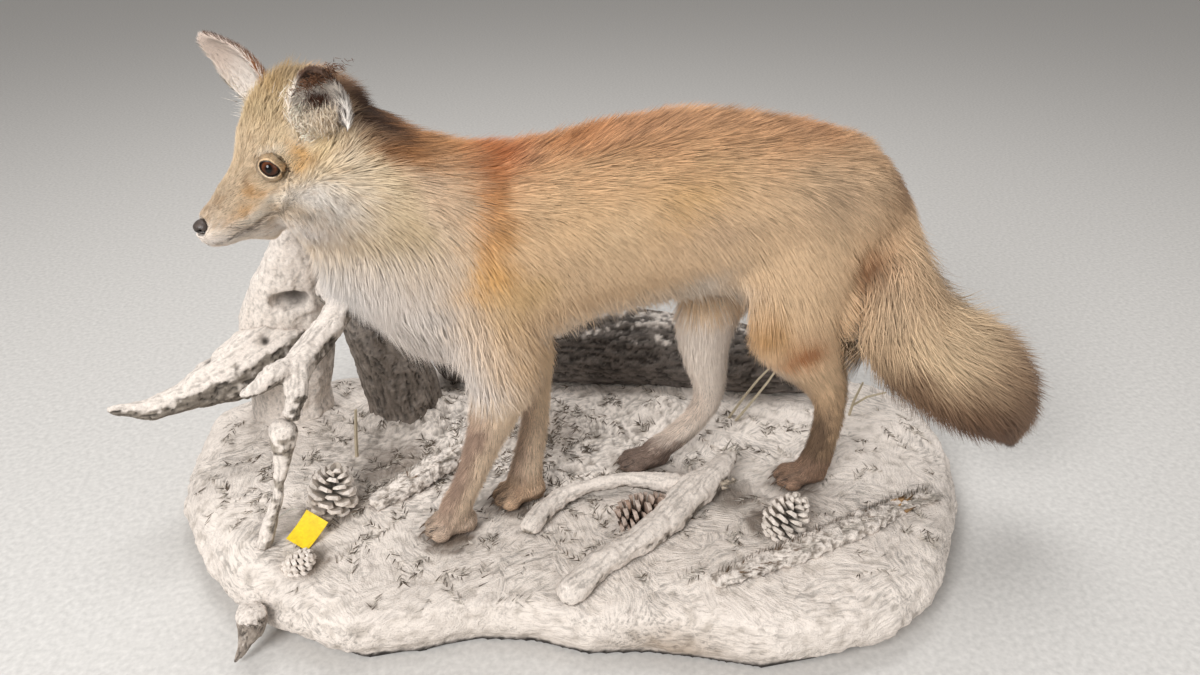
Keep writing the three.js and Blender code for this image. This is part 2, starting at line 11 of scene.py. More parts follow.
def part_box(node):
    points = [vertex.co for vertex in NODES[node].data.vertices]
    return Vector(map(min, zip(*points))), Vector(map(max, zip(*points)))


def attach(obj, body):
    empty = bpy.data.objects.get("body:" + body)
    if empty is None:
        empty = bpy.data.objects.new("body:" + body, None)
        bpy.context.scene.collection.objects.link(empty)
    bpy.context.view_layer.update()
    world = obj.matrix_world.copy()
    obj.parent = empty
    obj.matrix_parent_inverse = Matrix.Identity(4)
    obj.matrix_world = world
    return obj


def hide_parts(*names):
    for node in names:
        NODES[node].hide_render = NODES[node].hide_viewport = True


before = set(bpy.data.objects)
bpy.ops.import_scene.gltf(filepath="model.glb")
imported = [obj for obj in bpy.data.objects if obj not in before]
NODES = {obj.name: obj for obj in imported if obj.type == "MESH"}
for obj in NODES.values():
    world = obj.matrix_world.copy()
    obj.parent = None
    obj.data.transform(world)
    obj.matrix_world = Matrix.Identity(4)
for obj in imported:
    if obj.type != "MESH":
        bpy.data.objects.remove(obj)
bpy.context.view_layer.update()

MM = 0.001  # shapes are worked out in millimetres, and the scene is in metres


# ---- Colour and materials ----

def linear(hex_colour):
    """An sRGB hex colour as linear red, green, blue and alpha."""
    parts = [int(hex_colour[i:i + 2], 16) / 255 for i in (1, 3, 5)]
    return [c / 12.92 if c <= 0.04045 else ((c + 0.055) / 1.055) ** 2.4 for c in parts] + [1.0]


def add(tree, kind, inputs=None, **settings):
    """A shader node with its settings. Each input is given a value, or is linked from a socket or
    from a node's first output."""
    node = tree.nodes.new("ShaderNode" + kind)
    for key, value in settings.items():
        setattr(node, key, value)
    for key, value in (inputs or {}).items():
        if isinstance(value, bpy.types.Node):
            value = value.outputs[0]
        if isinstance(value, bpy.types.NodeSocket):
            tree.links.new(value, node.inputs[key])
        else:
            node.inputs[key].default_value = value
    return node


def finish(name, **shader):
    """A new material with one shader, whose sockets take the values given."""
    material = bpy.data.materials.new(name)
    material.use_nodes = True
    principled = material.node_tree.nodes["Principled BSDF"]
    for key, value in shader.items():
        principled.inputs[key.replace("_", " ")].default_value = value
    return material


def per_metre(millimetres):
    """The scale of a noise whose features are that many millimetres across."""
    return 1 / (millimetres * MM)


def mottled(material, grain, tones, colour=None, span=(0.0, 1.0), detail=3.0, roughness=0.5):
    """A colour, or the mesh's own markings, made darker and paler by a noise whose grains are that
    many millimetres across. Gives the place it was read at, the noise and the colour."""
    tree = material.node_tree
    place = add(tree, "TexCoord").outputs["Object"]
    if colour is None:
        colour = add(tree, "Attribute", attribute_name="markings").outputs["Color"]
    noise_at = add(tree, "TexNoise", {
        "Vector": place, "Scale": per_metre(grain), "Detail": detail, "Roughness": roughness})
    tone = add(tree, "MapRange", {0: noise_at, 1: span[0], 2: span[1], 3: tones[0], 4: tones[1]})
    shade = add(tree, "VectorMath", {0: colour, "Scale": tone}, operation="SCALE")
    return place, noise_at, shade.outputs[0]


def covered(material, colour, height=None, strength=0.0, deep=0.0):
    """The material with its colour linked, and a relief of that many millimetres."""
    tree = material.node_tree
    shader = tree.nodes["Principled BSDF"]
    tree.links.new(colour, shader.inputs["Base Color"])
    if height:
        bump = add(tree, "Bump", {"Height": height, "Strength": strength, "Distance": deep * MM})
        tree.links.new(bump.outputs[0], shader.inputs["Normal"])
    return material


def fox_hair():
    """Dressed winter fur: dull, with a faint sheen along the hair, each lock a little different."""
    material = finish("fox_hair", Roughness=0.68, Specular_IOR_Level=0.3, Sheen_Weight=0.05,
                      Sheen_Roughness=0.4)
    _, _, colour = mottled(material, 5, (0.86, 1.12))
    return covered(material, colour)


def fox_skin():
    """The tanned skin with its short nap, which shows only between the locks: matt and mottled."""
    material = finish("fox_skin", Roughness=0.8)
    _, nap, colour = mottled(material, 1.4, (0.6, 1.1), detail=4.0)
    return covered(material, colour, nap, 0.5, 0.6)


def glass_eye():
    """A taxidermist's glass eye: a red-brown iris streaked outwards, with painted shade darkening it above,
    where the lid hangs over it, a tall dark pupil, a wet gloss."""
    material = finish("glass_eye", Roughness=0.12, IOR=1.38)
    tree = material.node_tree
    place = add(tree, "TexCoord").outputs["Object"]
    flat = add(tree, "VectorMath", {0: place, 1: (1, 1, 0)}, operation="MULTIPLY")
    round_it = add(tree, "VectorMath", {0: flat}, operation="NORMALIZE")
    streaks = add(tree, "TexNoise", {"Vector": round_it, "Scale": 9.0, "Detail": 3.0})
    from_middle = add(tree, "VectorMath", {0: flat}, operation="LENGTH")
    share = add(tree, "Math", {0: from_middle.outputs["Value"], 1: EYE_RADIUS * MM}, operation="DIVIDE")
    wander = add(tree, "Math", {0: streaks, 1: 0.10, 2: share}, operation="MULTIPLY_ADD")
    iris = add(tree, "ValToRGB", {0: wander})
    # From the pupil's edge out to the dark rim.
    rings = iris.color_ramp.elements
    rings[0].position, rings[0].color = 0.30, linear("#1a0e09")
    rings[1].position, rings[1].color = 0.84, linear("#120a07")
    for at, colour in [(0.42, "#402213"), (0.62, "#64381f"), (0.74, "#2f1a0f")]:
        rings.new(at).color = linear(colour)
    slit = add(tree, "VectorMath", {0: place, 1: (1.55, 1.0, 0)}, operation="MULTIPLY")
    slit_far = add(tree, "VectorMath", {0: slit}, operation="LENGTH")
    in_pupil = add(tree, "MapRange", {
        0: slit_far.outputs["Value"], 1: 3.1 * MM, 2: 3.7 * MM, 3: 1.0, 4: 0.0})
    colour = add(tree, "Mix", {0: in_pupil, 6: iris, 7: linear("#070504")}, data_type="RGBA")
    # Painted shade: the eye is darkened towards its top, where the lid hangs over it.
    height = add(tree, "SeparateXYZ", {0: place})
    shaded = add(tree, "MapRange", {0: height.outputs["Y"], 1: -0.5 * MM, 2: 4.5 * MM, 3: 1.0, 4: 0.3})
    eye_with_painted_shade = add(tree, "VectorMath", {0: colour.outputs[2], "Scale": shaded}, operation="SCALE")
    return covered(material, eye_with_painted_shade.outputs[0])


def nose_leather():
    """The nose's own leather, stained black and lacquered thinly: pebbled, with a painted grey sheen over
    it.
    """
    material = finish("nose_leather", Roughness=0.42)
    place, _, colour = mottled(material, 5, (0.25, 1.6), span=(0.3, 0.8))
    pebbles = add(material.node_tree, "TexVoronoi", {"Vector": place, "Scale": per_metre(0.9)})
    return covered(material, colour, pebbles, 0.35, 0.3)


def eyelid_skin():
    """The modelled rim of the eyes: bare skin, painted and varnished, with a slight shine."""
    material = finish("eyelid_skin", Roughness=0.5, Coat_Weight=0.2)
    _, _, colour = mottled(material, 1.2, (0.8, 1.2))
    return covered(material, colour)


def plain_stuff(name, colour, roughness):
    """A dull stuff of one colour with a fine mottle."""
    material = finish(name, Roughness=roughness)
    _, _, shade = mottled(material, 6, (0.7, 1.2), linear(colour)[:3], detail=5.0)
    return covered(material, shade)


def crusted(name, roughness, grain, relief, speck="#3f3630", specks=0.5):
    """A dull stuff whose colours come with the mesh, with a grain and dark specks of its own.
    `grain` is the size of its grains and `relief` their height, both in millimetres."""
    material = finish(name, Roughness=roughness)
    tree = material.node_tree
    place, coarse, shade = mottled(material, grain * 3, (0.72, 1.22), span=(0.25, 0.75), detail=6.0,
                                   roughness=0.65)
    grains = add(tree, "TexNoise", {"Vector": place, "Scale": per_metre(grain), "Detail": 3.0})
    dirt = add(tree, "MapRange", {0: grains, 1: 0.64, 2: 0.72, 3: 0.0, 4: specks})
    colour = add(tree, "Mix", {0: dirt, 6: shade, 7: linear(speck)}, data_type="RGBA")
    heights = add(tree, "Math", {0: coarse, 1: grains}, operation="ADD")
    return covered(material, colour.outputs[2], heights, 0.8, relief)


# ---- Camera, light and floor ----

BASE_TURN = math.radians(12.9)  # how far the stand is turned from square to the camera
FLOOR_REACH = 9.0  # metres from the middle to each side


def put(name, data):
    """An object in the scene, from its mesh, lamp or camera."""
    thing = bpy.data.objects.new(name, data)
    bpy.context.scene.collection.objects.link(thing)
    return thing


def build_stage():
    """A camera that looks down on the stand from the fox's left, soft studio light, a plain floor."""
    camera = put("camera", bpy.data.cameras.new("camera"))
    camera.data.lens = 27.72
    camera.data.sensor_width = 36
    camera.location = (-0.1592, -0.7659, 0.670)
    camera.rotation_euler = (math.radians(61.5), 0, -BASE_TURN)
    scene = bpy.context.scene
    scene.camera = camera
    scene.view_settings.view_transform = "Standard"

    # A large soft key over the camera's left shoulder, a fill from the right, and a top light behind.
    middle = Vector((0.05, 0, 0.25))
    for name, place, size, watts in [
        ("key", (-1.3, -1.5, 1.55), 1.1, 50), ("fill", (1.9, -1.4, 1.3), 1.8, 10),
        ("top", (0.0, 0.7, 2.3), 1.4, 26),
    ]:
        light = bpy.data.lights.new(name, "AREA")
        light.shape = "DISK"
        light.size = size
        light.energy = watts
        lamp = put(name, light)
        lamp.location = place
        lamp.rotation_euler = (middle - lamp.location).to_track_quat("-Z", "Y").to_euler()
    world = bpy.data.worlds.new("studio")
    world.use_nodes = True
    background = world.node_tree.nodes["Background"]
    background.inputs["Color"].default_value = linear("#f2f0ee")
    background.inputs["Strength"].default_value = 0.42
    scene.world = world

    corners = [(x * FLOOR_REACH, y * FLOOR_REACH, 0) for x, y in [(-1, -1), (1, -1), (1, 1), (-1, 1)]]
    floor = new_object("studio_floor", corners, [(0, 1, 2, 3)], plain_stuff("pale_floor", "#cfccc8", 0.8))


# ---- Meshes ----

def new_object(name, points, faces, *materials):
    """An object whose points are in metres, with its materials."""
    mesh = bpy.data.meshes.new(name)
    mesh.from_pydata([tuple(p) for p in points], [], [tuple(f) for f in faces])
    for material in materials:
        mesh.materials.append(material)
    return put(name, mesh)


def smooth_mesh(mesh):
    mesh.polygons.foreach_set("use_smooth", np.ones(len(mesh.polygons), bool))


def piece(thing, slot, *nodes):
    """A finished piece of the model, held by the root, with the solids it stands for hidden. Its slot is
    not used.
    """
    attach(thing, "root")
    if nodes:
        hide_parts(*nodes)
    return thing


def read(mesh, kind, size, dtype=np.float64):
    """One array of a mesh: its points' places, or the corners of its triangles or edges."""
    source, key = {"points": (mesh.vertices, "co"), "edges": (mesh.edges, "vertices"),
                   "triangles": (mesh.loop_triangles, "vertices")}[kind]
    flat = np.zeros(len(source) * size, np.float32 if dtype is np.float64 else np.int32)
    source.foreach_get(key, flat)
    return flat.reshape(-1, size).astype(dtype)


def made_of(thing, kind, **settings):
    """The mesh that a thing becomes under one modifier, which is then taken off it."""
    modifier = thing.modifiers.new(kind.lower(), kind)
    for key, value in settings.items():
        setattr(modifier, key, value)
    mesh = bpy.data.meshes.new_from_object(thing.evaluated_get(bpy.context.evaluated_depsgraph_get()))
    thing.modifiers.clear()
    return mesh


def remeshed(names, voxel):
    """The CAD solids of those names as one closed mesh of small quads, in metres."""
    points, faces = [], []
    for name in names:
        mesh = NODES[name].data
        faces += [[i + len(points) for i in face.vertices] for face in mesh.polygons]
        points += [v.co[:] for v in mesh.vertices]
    rough = new_object("rough", points, faces)
    mesh = made_of(rough, "REMESH", mode="VOXEL", voxel_size=voxel * MM)
    bpy.data.objects.remove(rough)
    return mesh


def solid_surface(name, voxel, rounds, rate):
    """One CAD solid as a surface with its quads evened out, and its normals."""
    body = Surface(remeshed([name], voxel))
    body.points = body.settled(body.points, rounds, rate)
    return body, body.normals()


def refined(mesh, chosen):
    """The mesh with its chosen faces cut in four. `chosen` tells from a face's middle, in metres."""
    work = bmesh.new()
    work.from_mesh(mesh)
    edges = {edge for face in work.faces if chosen(face.calc_center_median()) for edge in face.edges}
    bmesh.ops.subdivide_edges(work, edges=list(edges), cuts=1, use_grid_fill=True)
    work.to_mesh(mesh)
    work.free()
    return mesh


class Surface:
    """A closed surface in millimetres, with named values at its points."""

    def __init__(self, mesh):
        self.mesh = mesh
        mesh.calc_loop_triangles()
        self.points = read(mesh, "points", 3) / MM
        self.edges = read(mesh, "edges", 2, np.int64)
        self.triangles = read(mesh, "triangles", 3, np.int64)
        self.values = {}
        ends = np.concatenate([self.edges, self.edges[:, ::-1]])
        self.start, self.end = ends[:, 0], ends[:, 1]
        self.count = np.maximum(np.bincount(self.start, minlength=len(self.points)), 1)

    def settled(self, values, rounds, rate=0.5):
        """Values at the points, evened out with their neighbours'."""
        values = np.array(values, float)
        flat = values.reshape(len(self.points), -1)
        rate = np.broadcast_to(rate, len(self.points))
        for _ in range(rounds):
            for column in range(flat.shape[1]):
                total = np.bincount(self.start, flat[self.end, column], len(self.points))
                flat[:, column] += rate * (total / self.count - flat[:, column])
        return flat.reshape(values.shape)

    def normals(self):
        a, b, c = (self.points[self.triangles[:, i]] for i in range(3))
        face = np.cross(b - a, c - a)
        total = np.stack([
            sum(np.bincount(self.triangles[:, i], face[:, k], len(self.points)) for i in range(3))
            for k in range(3)], 1)
        return unit(total)

    def tree(self):
        return BVHTree.FromPolygons(self.points.tolist(), self.triangles.tolist())

    def at(self, triangle, weights=None):
        """Every value at places on the surface, each given by its triangle and its weights there."""
        corners = self.triangles[triangle]
        if weights is None:
            return {key: value[corners].mean(1) for key, value in self.values.items()}
        return {key: (value[corners] * weights.reshape(weights.shape + (1,) * (value.ndim - 1))).sum(1)
                for key, value in self.values.items()}

    def show(self, points, colours, name, material):
        """The surface as an object, with its points moved and its markings painted on."""
        self.mesh.vertices.foreach_set("co", (points * MM).astype(np.float32).ravel())
        paint(self.mesh, colours)
        smooth_mesh(self.mesh)
        self.mesh.materials.clear()
        self.mesh.materials.append(material)
        self.mesh.update()
        return put(name, self.mesh)


def paint(mesh, colours):
    """The markings, as a linear colour at each point."""
    layer = mesh.attributes.new("markings", "FLOAT_COLOR", "POINT")
    rgba = np.ones((len(colours), 4), np.float32)
    rgba[:, :3] = np.clip(colours, 0, 1)
    layer.data.foreach_set("color", rgba.ravel())


def unit(vectors):
    return vectors / np.maximum(np.linalg.norm(vectors, axis=-1, keepdims=True), 1e-9)


def rise(low, high, value):
    """0 below low, 1 above high, and smooth between them. low may be the higher number."""
    t = np.clip((value - low) / (high - low), 0, 1)
    return t * t * (3 - 2 * t)


def circle(count):
    """So many turns, evenly spaced round a circle."""
    return np.linspace(0, 2 * math.pi, count, endpoint=False)


def near(points, centre, reach):
    """1 at the centre, fading out at `reach` to each side."""
    return np.exp(-(((points - np.array(centre)) / np.array(reach)) ** 2).sum(-1))


# ---- The fox's measures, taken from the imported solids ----

def middle_of(node):
    low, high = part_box(node)
    return np.array((low + high) / 2) / MM


EYE_BACK, EYE_OUT, EYE_UP = 71.8, 24.5, 19.2  # the eyes, from the tip of the nose, in the head's frame
NOSE_PAD = np.array([7.0, 0, -5.0])  # the middle of the nose pad, likewise
EYE_RADIUS = 8.8


def head_frame():
    """The head's own frame: back from the tip of the nose, to the fox's right, and up."""
    left, right, nose = middle_of("eye_left"), middle_of("eye_right"), middle_of("nose_pad")
    across = unit(right - left)
    to_eyes = (left + right) / 2 - nose
    to_eyes = unit(to_eyes - across * (to_eyes @ across))
    lift = math.atan2(EYE_UP - NOSE_PAD[2], EYE_BACK - NOSE_PAD[0])
    upward = np.cross(to_eyes, across)
    back = to_eyes * math.cos(lift) - upward * math.sin(lift)
    axes = np.stack([back, across, np.cross(back, across)])
    return axes, nose - NOSE_PAD @ axes


HEAD_AXES, NOSE_TIP = head_frame()


def to_head(points):
    return (points - NOSE_TIP) @ HEAD_AXES.T


def from_head(points):
    return np.asarray(points) @ HEAD_AXES + NOSE_TIP


# The bones' line through each part: it steers the hair, and the coat is unrolled round it.
AXES = {
    "trunk": [(320, 0, 345), (215, 0, 362), (96, 0, 376), (-50, 0, 352), (-210, 0, 350)],
    "neck": [(-80, 0, 370), (-160, -2, 402), (-220, -3, 448)],
    "head": [tuple(from_head([165, 0, 12])), tuple(from_head([90, 0, 12])), tuple(from_head([0, 0, -6]))],
    "tail": [(302, -4, 352), (306, -16, 326), (300, -36, 296), (300, -54, 262), (328, -66, 234),
             (366, -70, 208), (400, -70, 180), (427, -69, 150), (443, -68, 122), (455, -68, 94)],
    "foreleg_left": [(-88, -42, 300), (-86, -41, 222), (-109, -38, 157), (-136, -34, 94), (-142, -33, 68),
                     (-172, -30, 66)],
    "foreleg_right": [(-62, 36, 300), (-45, 27, 205), (-48, 16, 148), (-64, 6, 86), (-68, 5, 68),
                      (-100, 0, 66)],
    "hindleg_left": [(208, -32, 350), (198, -41, 262), (238, -38, 190), (250, -38, 138), (240, -36, 84),
                     (232, -35, 68), (198, -32, 66)],
    "hindleg_right": [(172, 32, 340), (140, 38, 250), (137, 33, 190), (144, 32, 146), (127, 31, 110),
                      (86, 30, 76), (44, 29, 66)],
}
LEGS = ["foreleg_left", "foreleg_right", "hindleg_left", "hindleg_right"]
PARTS = {
    "head": "head", "neck": "neck", "trunk": "trunk", "tail_root": "tail", "tail_middle": "tail",
    "tail_tip": "tail", **{leg: leg for leg in LEGS}, **{leg.replace("leg", "foot"): leg for leg in LEGS},
}
PART_NAMES = list(AXES)


def along(points, axis):
    """How far along an axis each point lies, from 0 to 1, its way out from it, and the axis's way."""
    line = np.array(AXES[axis] if isinstance(axis, str) else axis, float)
    steps = np.diff(line, axis=0)
    lengths = np.linalg.norm(steps, axis=1)
    starts = np.concatenate([[0], np.cumsum(lengths)])
    best = np.full(len(points), np.inf)
    share = np.zeros(len(points))
    out = np.zeros((len(points), 3))
    way = np.zeros((len(points), 3))
    for i, (step, length) in enumerate(zip(steps, lengths)):
        t = np.clip(((points - line[i]) @ step) / length ** 2, 0, 1)
        gap = points - line[i] - t[:, None] * step
        far = np.linalg.norm(gap, axis=1)
        closer = far < best - 1e-6
        best[closer] = far[closer]
        share[closer] = (starts[i] + t[closer] * length) / starts[-1]
        out[closer] = gap[closer]
        way[closer] = step / length
    return share, out, way


# Each foot's heel, its toes and half its width, on the snow.
PAWS = {
    "forefoot_left": ((-127, -33), (-160, -31), 20), "forefoot_right": ((-52, 4), (-88, 1), 20),
    "hindfoot_left": ((246, -36), (209, -33), 20), "hindfoot_right": ((92, 31), (53, 29), 19),
}


# ---- Where the coat's colours lie ----

# The coat's main colours.
CREAM, GOLD = "#d9b995", "#d4a66f"
WHITE, PEARL = "#f3e9e1", "#d3c9c1"

# Patches on the body: middle, reach to each side, colour and strength. Millimetres, fox's frame.
BODY_PATCHES = [
    ((9, -71, 374), (38, 34, 26), "#dbbd98", 0.6), ((-33, -69, 386), (32, 34, 22), "#cfac84", 0.5),
    ((79, -60, 401), (30, 34, 20), "#c99e60", 0.45), ((106, -69, 372), (34, 34, 24), "#a8907a", 0.5),
    ((219, -60, 388), (55, 45, 32), "#a0876f", 0.65), ((219, 60, 388), (55, 45, 32), "#a0876f", 0.65),
    ((125, 0, 460), (100, 50, 20), "#a37a58", 0.8), ((208, 0, 442), (60, 50, 22), "#9c7252", 0.8),
    ((40, 0, 464), (60, 50, 20), "#a07452", 0.8), ((-22, 0, 455), (56, 50, 20), "#935c31", 0.9),
    ((-80, -10, 442), (26, 52, 20), "#934a1a", 0.95),
    ((-92, -45, 428), (13, 34, 18), "#9a5522", 0.8), ((-92, 45, 428), (13, 34, 18), "#9a5522", 0.8),
    ((-93, -60, 408), (17, 34, 18), "#a86a2c", 0.8), ((-93, 60, 408), (17, 34, 18), "#a86a2c", 0.8),
    ((-95, -73, 386), (17, 34, 18), "#ac702b", 0.85), ((-95, 73, 386), (17, 34, 18), "#ac702b", 0.85),
    ((-90, -78, 357), (20, 34, 22), "#d39a4e", 0.8), ((-90, 78, 357), (20, 34, 22), "#d39a4e", 0.8),
    ((130, 25, 318), (50, 40, 26), "#efe6da", 0.9),
    ((-70, -76, 330), (22, 34, 20), "#dcb67c", 0.5), ((-138, -70, 392), (34, 45, 48), "#dfcab2", 0.6),
    ((297, 0, 378), (40, 52, 44), "#5c3214", 0.85), ((270, -54, 310), (30, 34, 34), "#6b3b12", 0.95),
    ((199, -64, 242), (24, 30, 24), "#8f5020", 0.95), ((156, -60, 266), (26, 26, 20), "#a87840", 0.75),
    ((105, -45, 306), (26, 24, 22), "#ded5ca", 0.7),
]

# The nape's dark streak, from between the ears to the withers, over the head's and the neck's coat.
NAPE = [
    ((-150, -12, 468), (30, 32, 20), "#7a4a26", 0.85), ((-120, -10, 455), (34, 34, 16), "#946539", 0.7),
    ((-150, -36, 452), (18, 14, 12), "#8a5a2e", 0.8), ((-190, 4, 500), (20, 32, 28), "#331507", 1.0),
    ((-178, 0, 488), (20, 32, 24), "#1c0a03", 1.0), ((-167, -22, 472), (20, 26, 20), "#1c0a03", 1.0),
    ((-168, 26, 474), (18, 22, 18), "#2a1206", 0.9), ((-155, -36, 457), (12, 14, 12), "#6b4426", 0.7),
]

# Patches on the face, in the head's frame. Those with a sideways place are on both sides.
FACE_PATCHES = [
    ((32, 0, 6), (30, 28, 19), "#988570", 0.85), ((9, 0, -14), (20, 20, 13), WHITE, 1.0),
    ((24, 0, -20), (22, 22, 9), WHITE, 0.95), ((52, 0, -30), (30, 24, 10), "#d9d0c6", 0.9),
    ((18, 0, 6), (14, 10, 5), "#8f7862", 0.6), ((26, 16, -6), (6, 7, 5), "#9a8069", 0.5),
    ((42, 18, -5), (10, 7, 5), "#a5763a", 0.75), ((52, 18, 9), (5, 7, 6), "#b58140", 0.7),
    ((58, 24, 2), (8, 7, 3), "#b58140", 0.6), ((52, 15, 15), (1.6, 5, 7), "#5f4329", 0.8),
    ((46, 22, -12), (12, 10, 4.5), "#efe4d4", 0.8), ((60, 30, -6), (12, 10, 5), "#efe4d4", 0.85),
    ((97, 41, 24), (6, 12, 11), "#cb9750", 0.8), ((90, 37, 13), (6, 10, 5), "#cf9f5a", 0.7),
    ((76, 27, 31), (13, 10, 4), "#f0e2cd", 0.9), ((80, 38, 11), (6, 7, 1.4), "#3f2c1f", 0.85),
    ((82, 50, -5), (20, 24, 9), "#f4ece2", 0.95), ((92, 64, -16), (26, 26, 18), "#e3dad0", 0.9),
    ((80, 34, -38), (46, 40, 16), WHITE, 0.9), ((72, 44, -22), (9, 14, 4), "#6b615a", 0.8),
    ((105, 6, 68), (10, 9, 9), "#8f6a34", 0.85), ((107, 14, 67), (4.5, 5, 8), "#5c4020", 0.85),
    ((92, 0, 58), (24, 30, 14), "#a08a66", 0.8), ((124, 0, 68), (20, 34, 18), "#7a6444", 0.9),
    ((118, 44, 26), (12, 14, 10), "#d6b878", 0.7), ((106, 36, 40), (7, 10, 14), "#efe4d4", 0.7),
    ((124, 44, 36), (12, 12, 12), "#dcd2c6", 0.8), ((126, 43, 52), (8, 9, 8), "#4a2a18", 0.9),
    ((124, 60, 8), (14, 18, 18), "#cfc1b0", 0.6),
]

# The slit of the lips, on the fox's left, from under the nose to the corner. Head's frame.
MOUTH = [(3, -3, -17), (9, -9, -19), (21, -14, -20.5), (37, -17, -21), (49, -19.5, -18.5),
         (61, -25, -16), (69, -38, -10), (77, -49, -5)]


def to_mouth(points):
    """How far each point of the head is from the slit of the lips, on its own side."""
    mirrored = points * np.where(points[:, 1:2] > 0, [1, -1, 1], [1, 1, 1])
    best = np.full(len(points), np.inf)
    for a, b in zip(np.array(MOUTH, float)[:-1], np.array(MOUTH, float)[1:]):
        t = np.clip(((mirrored - a) @ (b - a)) / ((b - a) @ (b - a)), 0, 1)
        best = np.minimum(best, np.linalg.norm(mirrored - a - t[:, None] * (b - a), axis=1))
    return best


def plain(hex_colour, *counts):
    """One colour as an array of that many."""
    return np.tile(linear(hex_colour)[:3], (*counts, 1))


def mixed(colours, weight, hex_colour):
    """Colours, or one hex colour, drawn towards another by a weight at each point."""
    if isinstance(colours, str):
        colours = plain(colours, len(weight))
    target = np.array(linear(hex_colour)[:3])
    return colours + weight[:, None] * (target - colours)


def markings(points, shares, facing):
    """The coat's colour at each point, from its share in each part and the way the surface faces."""
    x, _, z = points.T
    colours = plain(CREAM, len(points))
    on = dict(zip(PART_NAMES, shares.T))

    # A tan saddle over the back, gold flanks, a pale belly and a pearly chest.
    colours = mixed(colours, 0.75 * rise(390, 450, z), "#aa7d57")
    colours = mixed(colours, 0.35 * near(points, (30, 0, 400), (130, 200, 35)), GOLD)
    colours = mixed(colours, 0.75 * rise(-0.2, -0.9, facing[:, 2]) * rise(330, 290, z), "#d8cdbf")
    chest = rise(-95, -172, x + 0.45 * (z - 350)) * rise(470, 400, z)
    colours = mixed(colours, 0.95 * chest, PEARL)
    throat = rise(-185, -235, x + 0.2 * (z - 350)) * rise(430, 390, z)
    colours = mixed(colours, 0.8 * throat, "#dcd6d1")
    for centre, reach, colour, strength in BODY_PATCHES:
        colours = mixed(colours, strength * near(points, centre, reach), colour)

    # Forelegs: cream above, grey-brown socks whose hinder edge stays pale.
    # The far (right) leg's sock is painted paler than the near one's, as painted light on a leg that stands
    # in shade.
    for leg, sock, dark, foot in [("foreleg_left", 226, "#987e6e", "#b09a88"),
                                  ("foreleg_right", 240, "#bda28d", "#a3856b")]:
        _, out, _ = along(points, leg)
        ahead = rise(8, -13, out[:, 0])
        down = on[leg] * rise(sock + 20, sock - 45, z)
        colours = mixed(colours, on[leg] * 0.7, "#ecd0aa")
        colours = mixed(colours, down * (0.35 + 0.6 * ahead), dark)
        colours = mixed(colours, on[leg] * 0.8 * rise(100, 76, z), foot)
    # Hind legs: the right one creamy white to the hock, the left one tan, both brown in front below.
    for leg, shank, high, shin, foot in [("hindleg_left", "#a5896c", 225, "#665241", "#876c5a"),
                                         ("hindleg_right", "#fff0e2", 345, "#c6b4a5", "#4a2f20")]:
        _, out, _ = along(points, leg)
        ahead = rise(8, -10, out[:, 0])
        colours = mixed(colours, on[leg] * 0.9 * rise(high, high - 50, z), shank)
        colours = mixed(colours, on[leg] * (0.1 + 0.85 * ahead) * rise(170, 130, z), shin)
        colours = mixed(colours, on[leg] * 0.85 * rise(100, 82, z), foot)
    # Painted shade in the clefts between the toes.
    for heel, toes, width in PAWS.values():
        ahead = unit(np.array(toes, float) - heel)
        local = points[:, :2] - toes
        across = local @ np.array([-ahead[1], ahead[0]]) / width
        toe_cleft_shade = sum(rise(0.13, 0.03, np.abs(across - gap)) for gap in (0, -0.52, 0.52))
        onwards = local @ ahead
        near_toes = rise(-9, 0, onwards) * rise(24, 16, onwards) * rise(1.2, 1.0, np.abs(across))
        colours = mixed(colours, 0.75 * toe_cleft_shade * near_toes * rise(86, 78, z), "#2f231c")
    # The brush: pale above, brown towards the tip, and darker along its lower edge: its own brown there,
    # with painted shade on the underside.
    share, out, _ = along(points, "tail")
    underside_brown_and_shade = rise(-0.15, 0.6, unit(out) @ np.array([-0.45, 0, -0.88]))
    colours = mixed(colours, on["tail"] * 0.9, "#b2977a")
    colours = mixed(colours, on["tail"] * 0.4 * near(share[:, None], [0.42], [0.12]), "#d6bf9d")
    colours = mixed(colours, on["tail"] * 0.85 * underside_brown_and_shade * rise(0.24, 0.45, share), "#6a4e3a")
    colours = mixed(colours, on["tail"] * 0.85 * rise(0.45, 0.75, share), "#664c3a")

    # The face.
    head = to_head(points)
    face = mixed("#cdb596", 0.6 * rise(60, 100, head[:, 0]), "#c6b08c")
    mirrored = head * [1, -1, 1]
    for centre, reach, colour, strength in FACE_PATCHES:
        weight = near(head, centre, reach)
        if centre[1]:
            weight = np.maximum(weight, near(mirrored, centre, reach))
        face = mixed(face, strength * weight, colour)
    from_lips = to_mouth(head)
    edging = rise(9, 3, from_lips) * rise(14, 34, head[:, 0]) * rise(90, 78, head[:, 0])
    face = mixed(face, 0.4 * edging, "#6a5c50")
    lips = rise(3.0, 1.2, from_lips) * (1 - 0.75 * rise(56, 70, head[:, 0]))
    face = mixed(face, 0.85 * lips, "#51453e")
    blend = on["head"] * rise(160, 130, head[:, 0])
    colours = colours + blend[:, None] * (face - colours)
    for centre, reach, colour, strength in NAPE:
        colours = mixed(colours, strength * near(points, centre, reach), colour)
    return colours


# ---- The fox's outline and skin ----

FLESH = list(PARTS)
VOXEL = 3.3  # across each quad of the outline, before its face and feet are refined


def fine_part(point):
    """The face and the feet take a finer mesh."""
    head = to_head(np.array(point)[None] / MM)[0]
    return point.z < 86 * MM or (head[0] < 92 and abs(head[1]) < 60 and -50 < head[2] < 50)


def eyes_and_lips(point):
    head = to_head(np.array(point)[None] / MM)[0]
    lips = head[0] < 70 and to_mouth(head[None])[0] < 8
    return lips or min(np.linalg.norm(head - eye[1]) for eye in eye_centres()) < 17


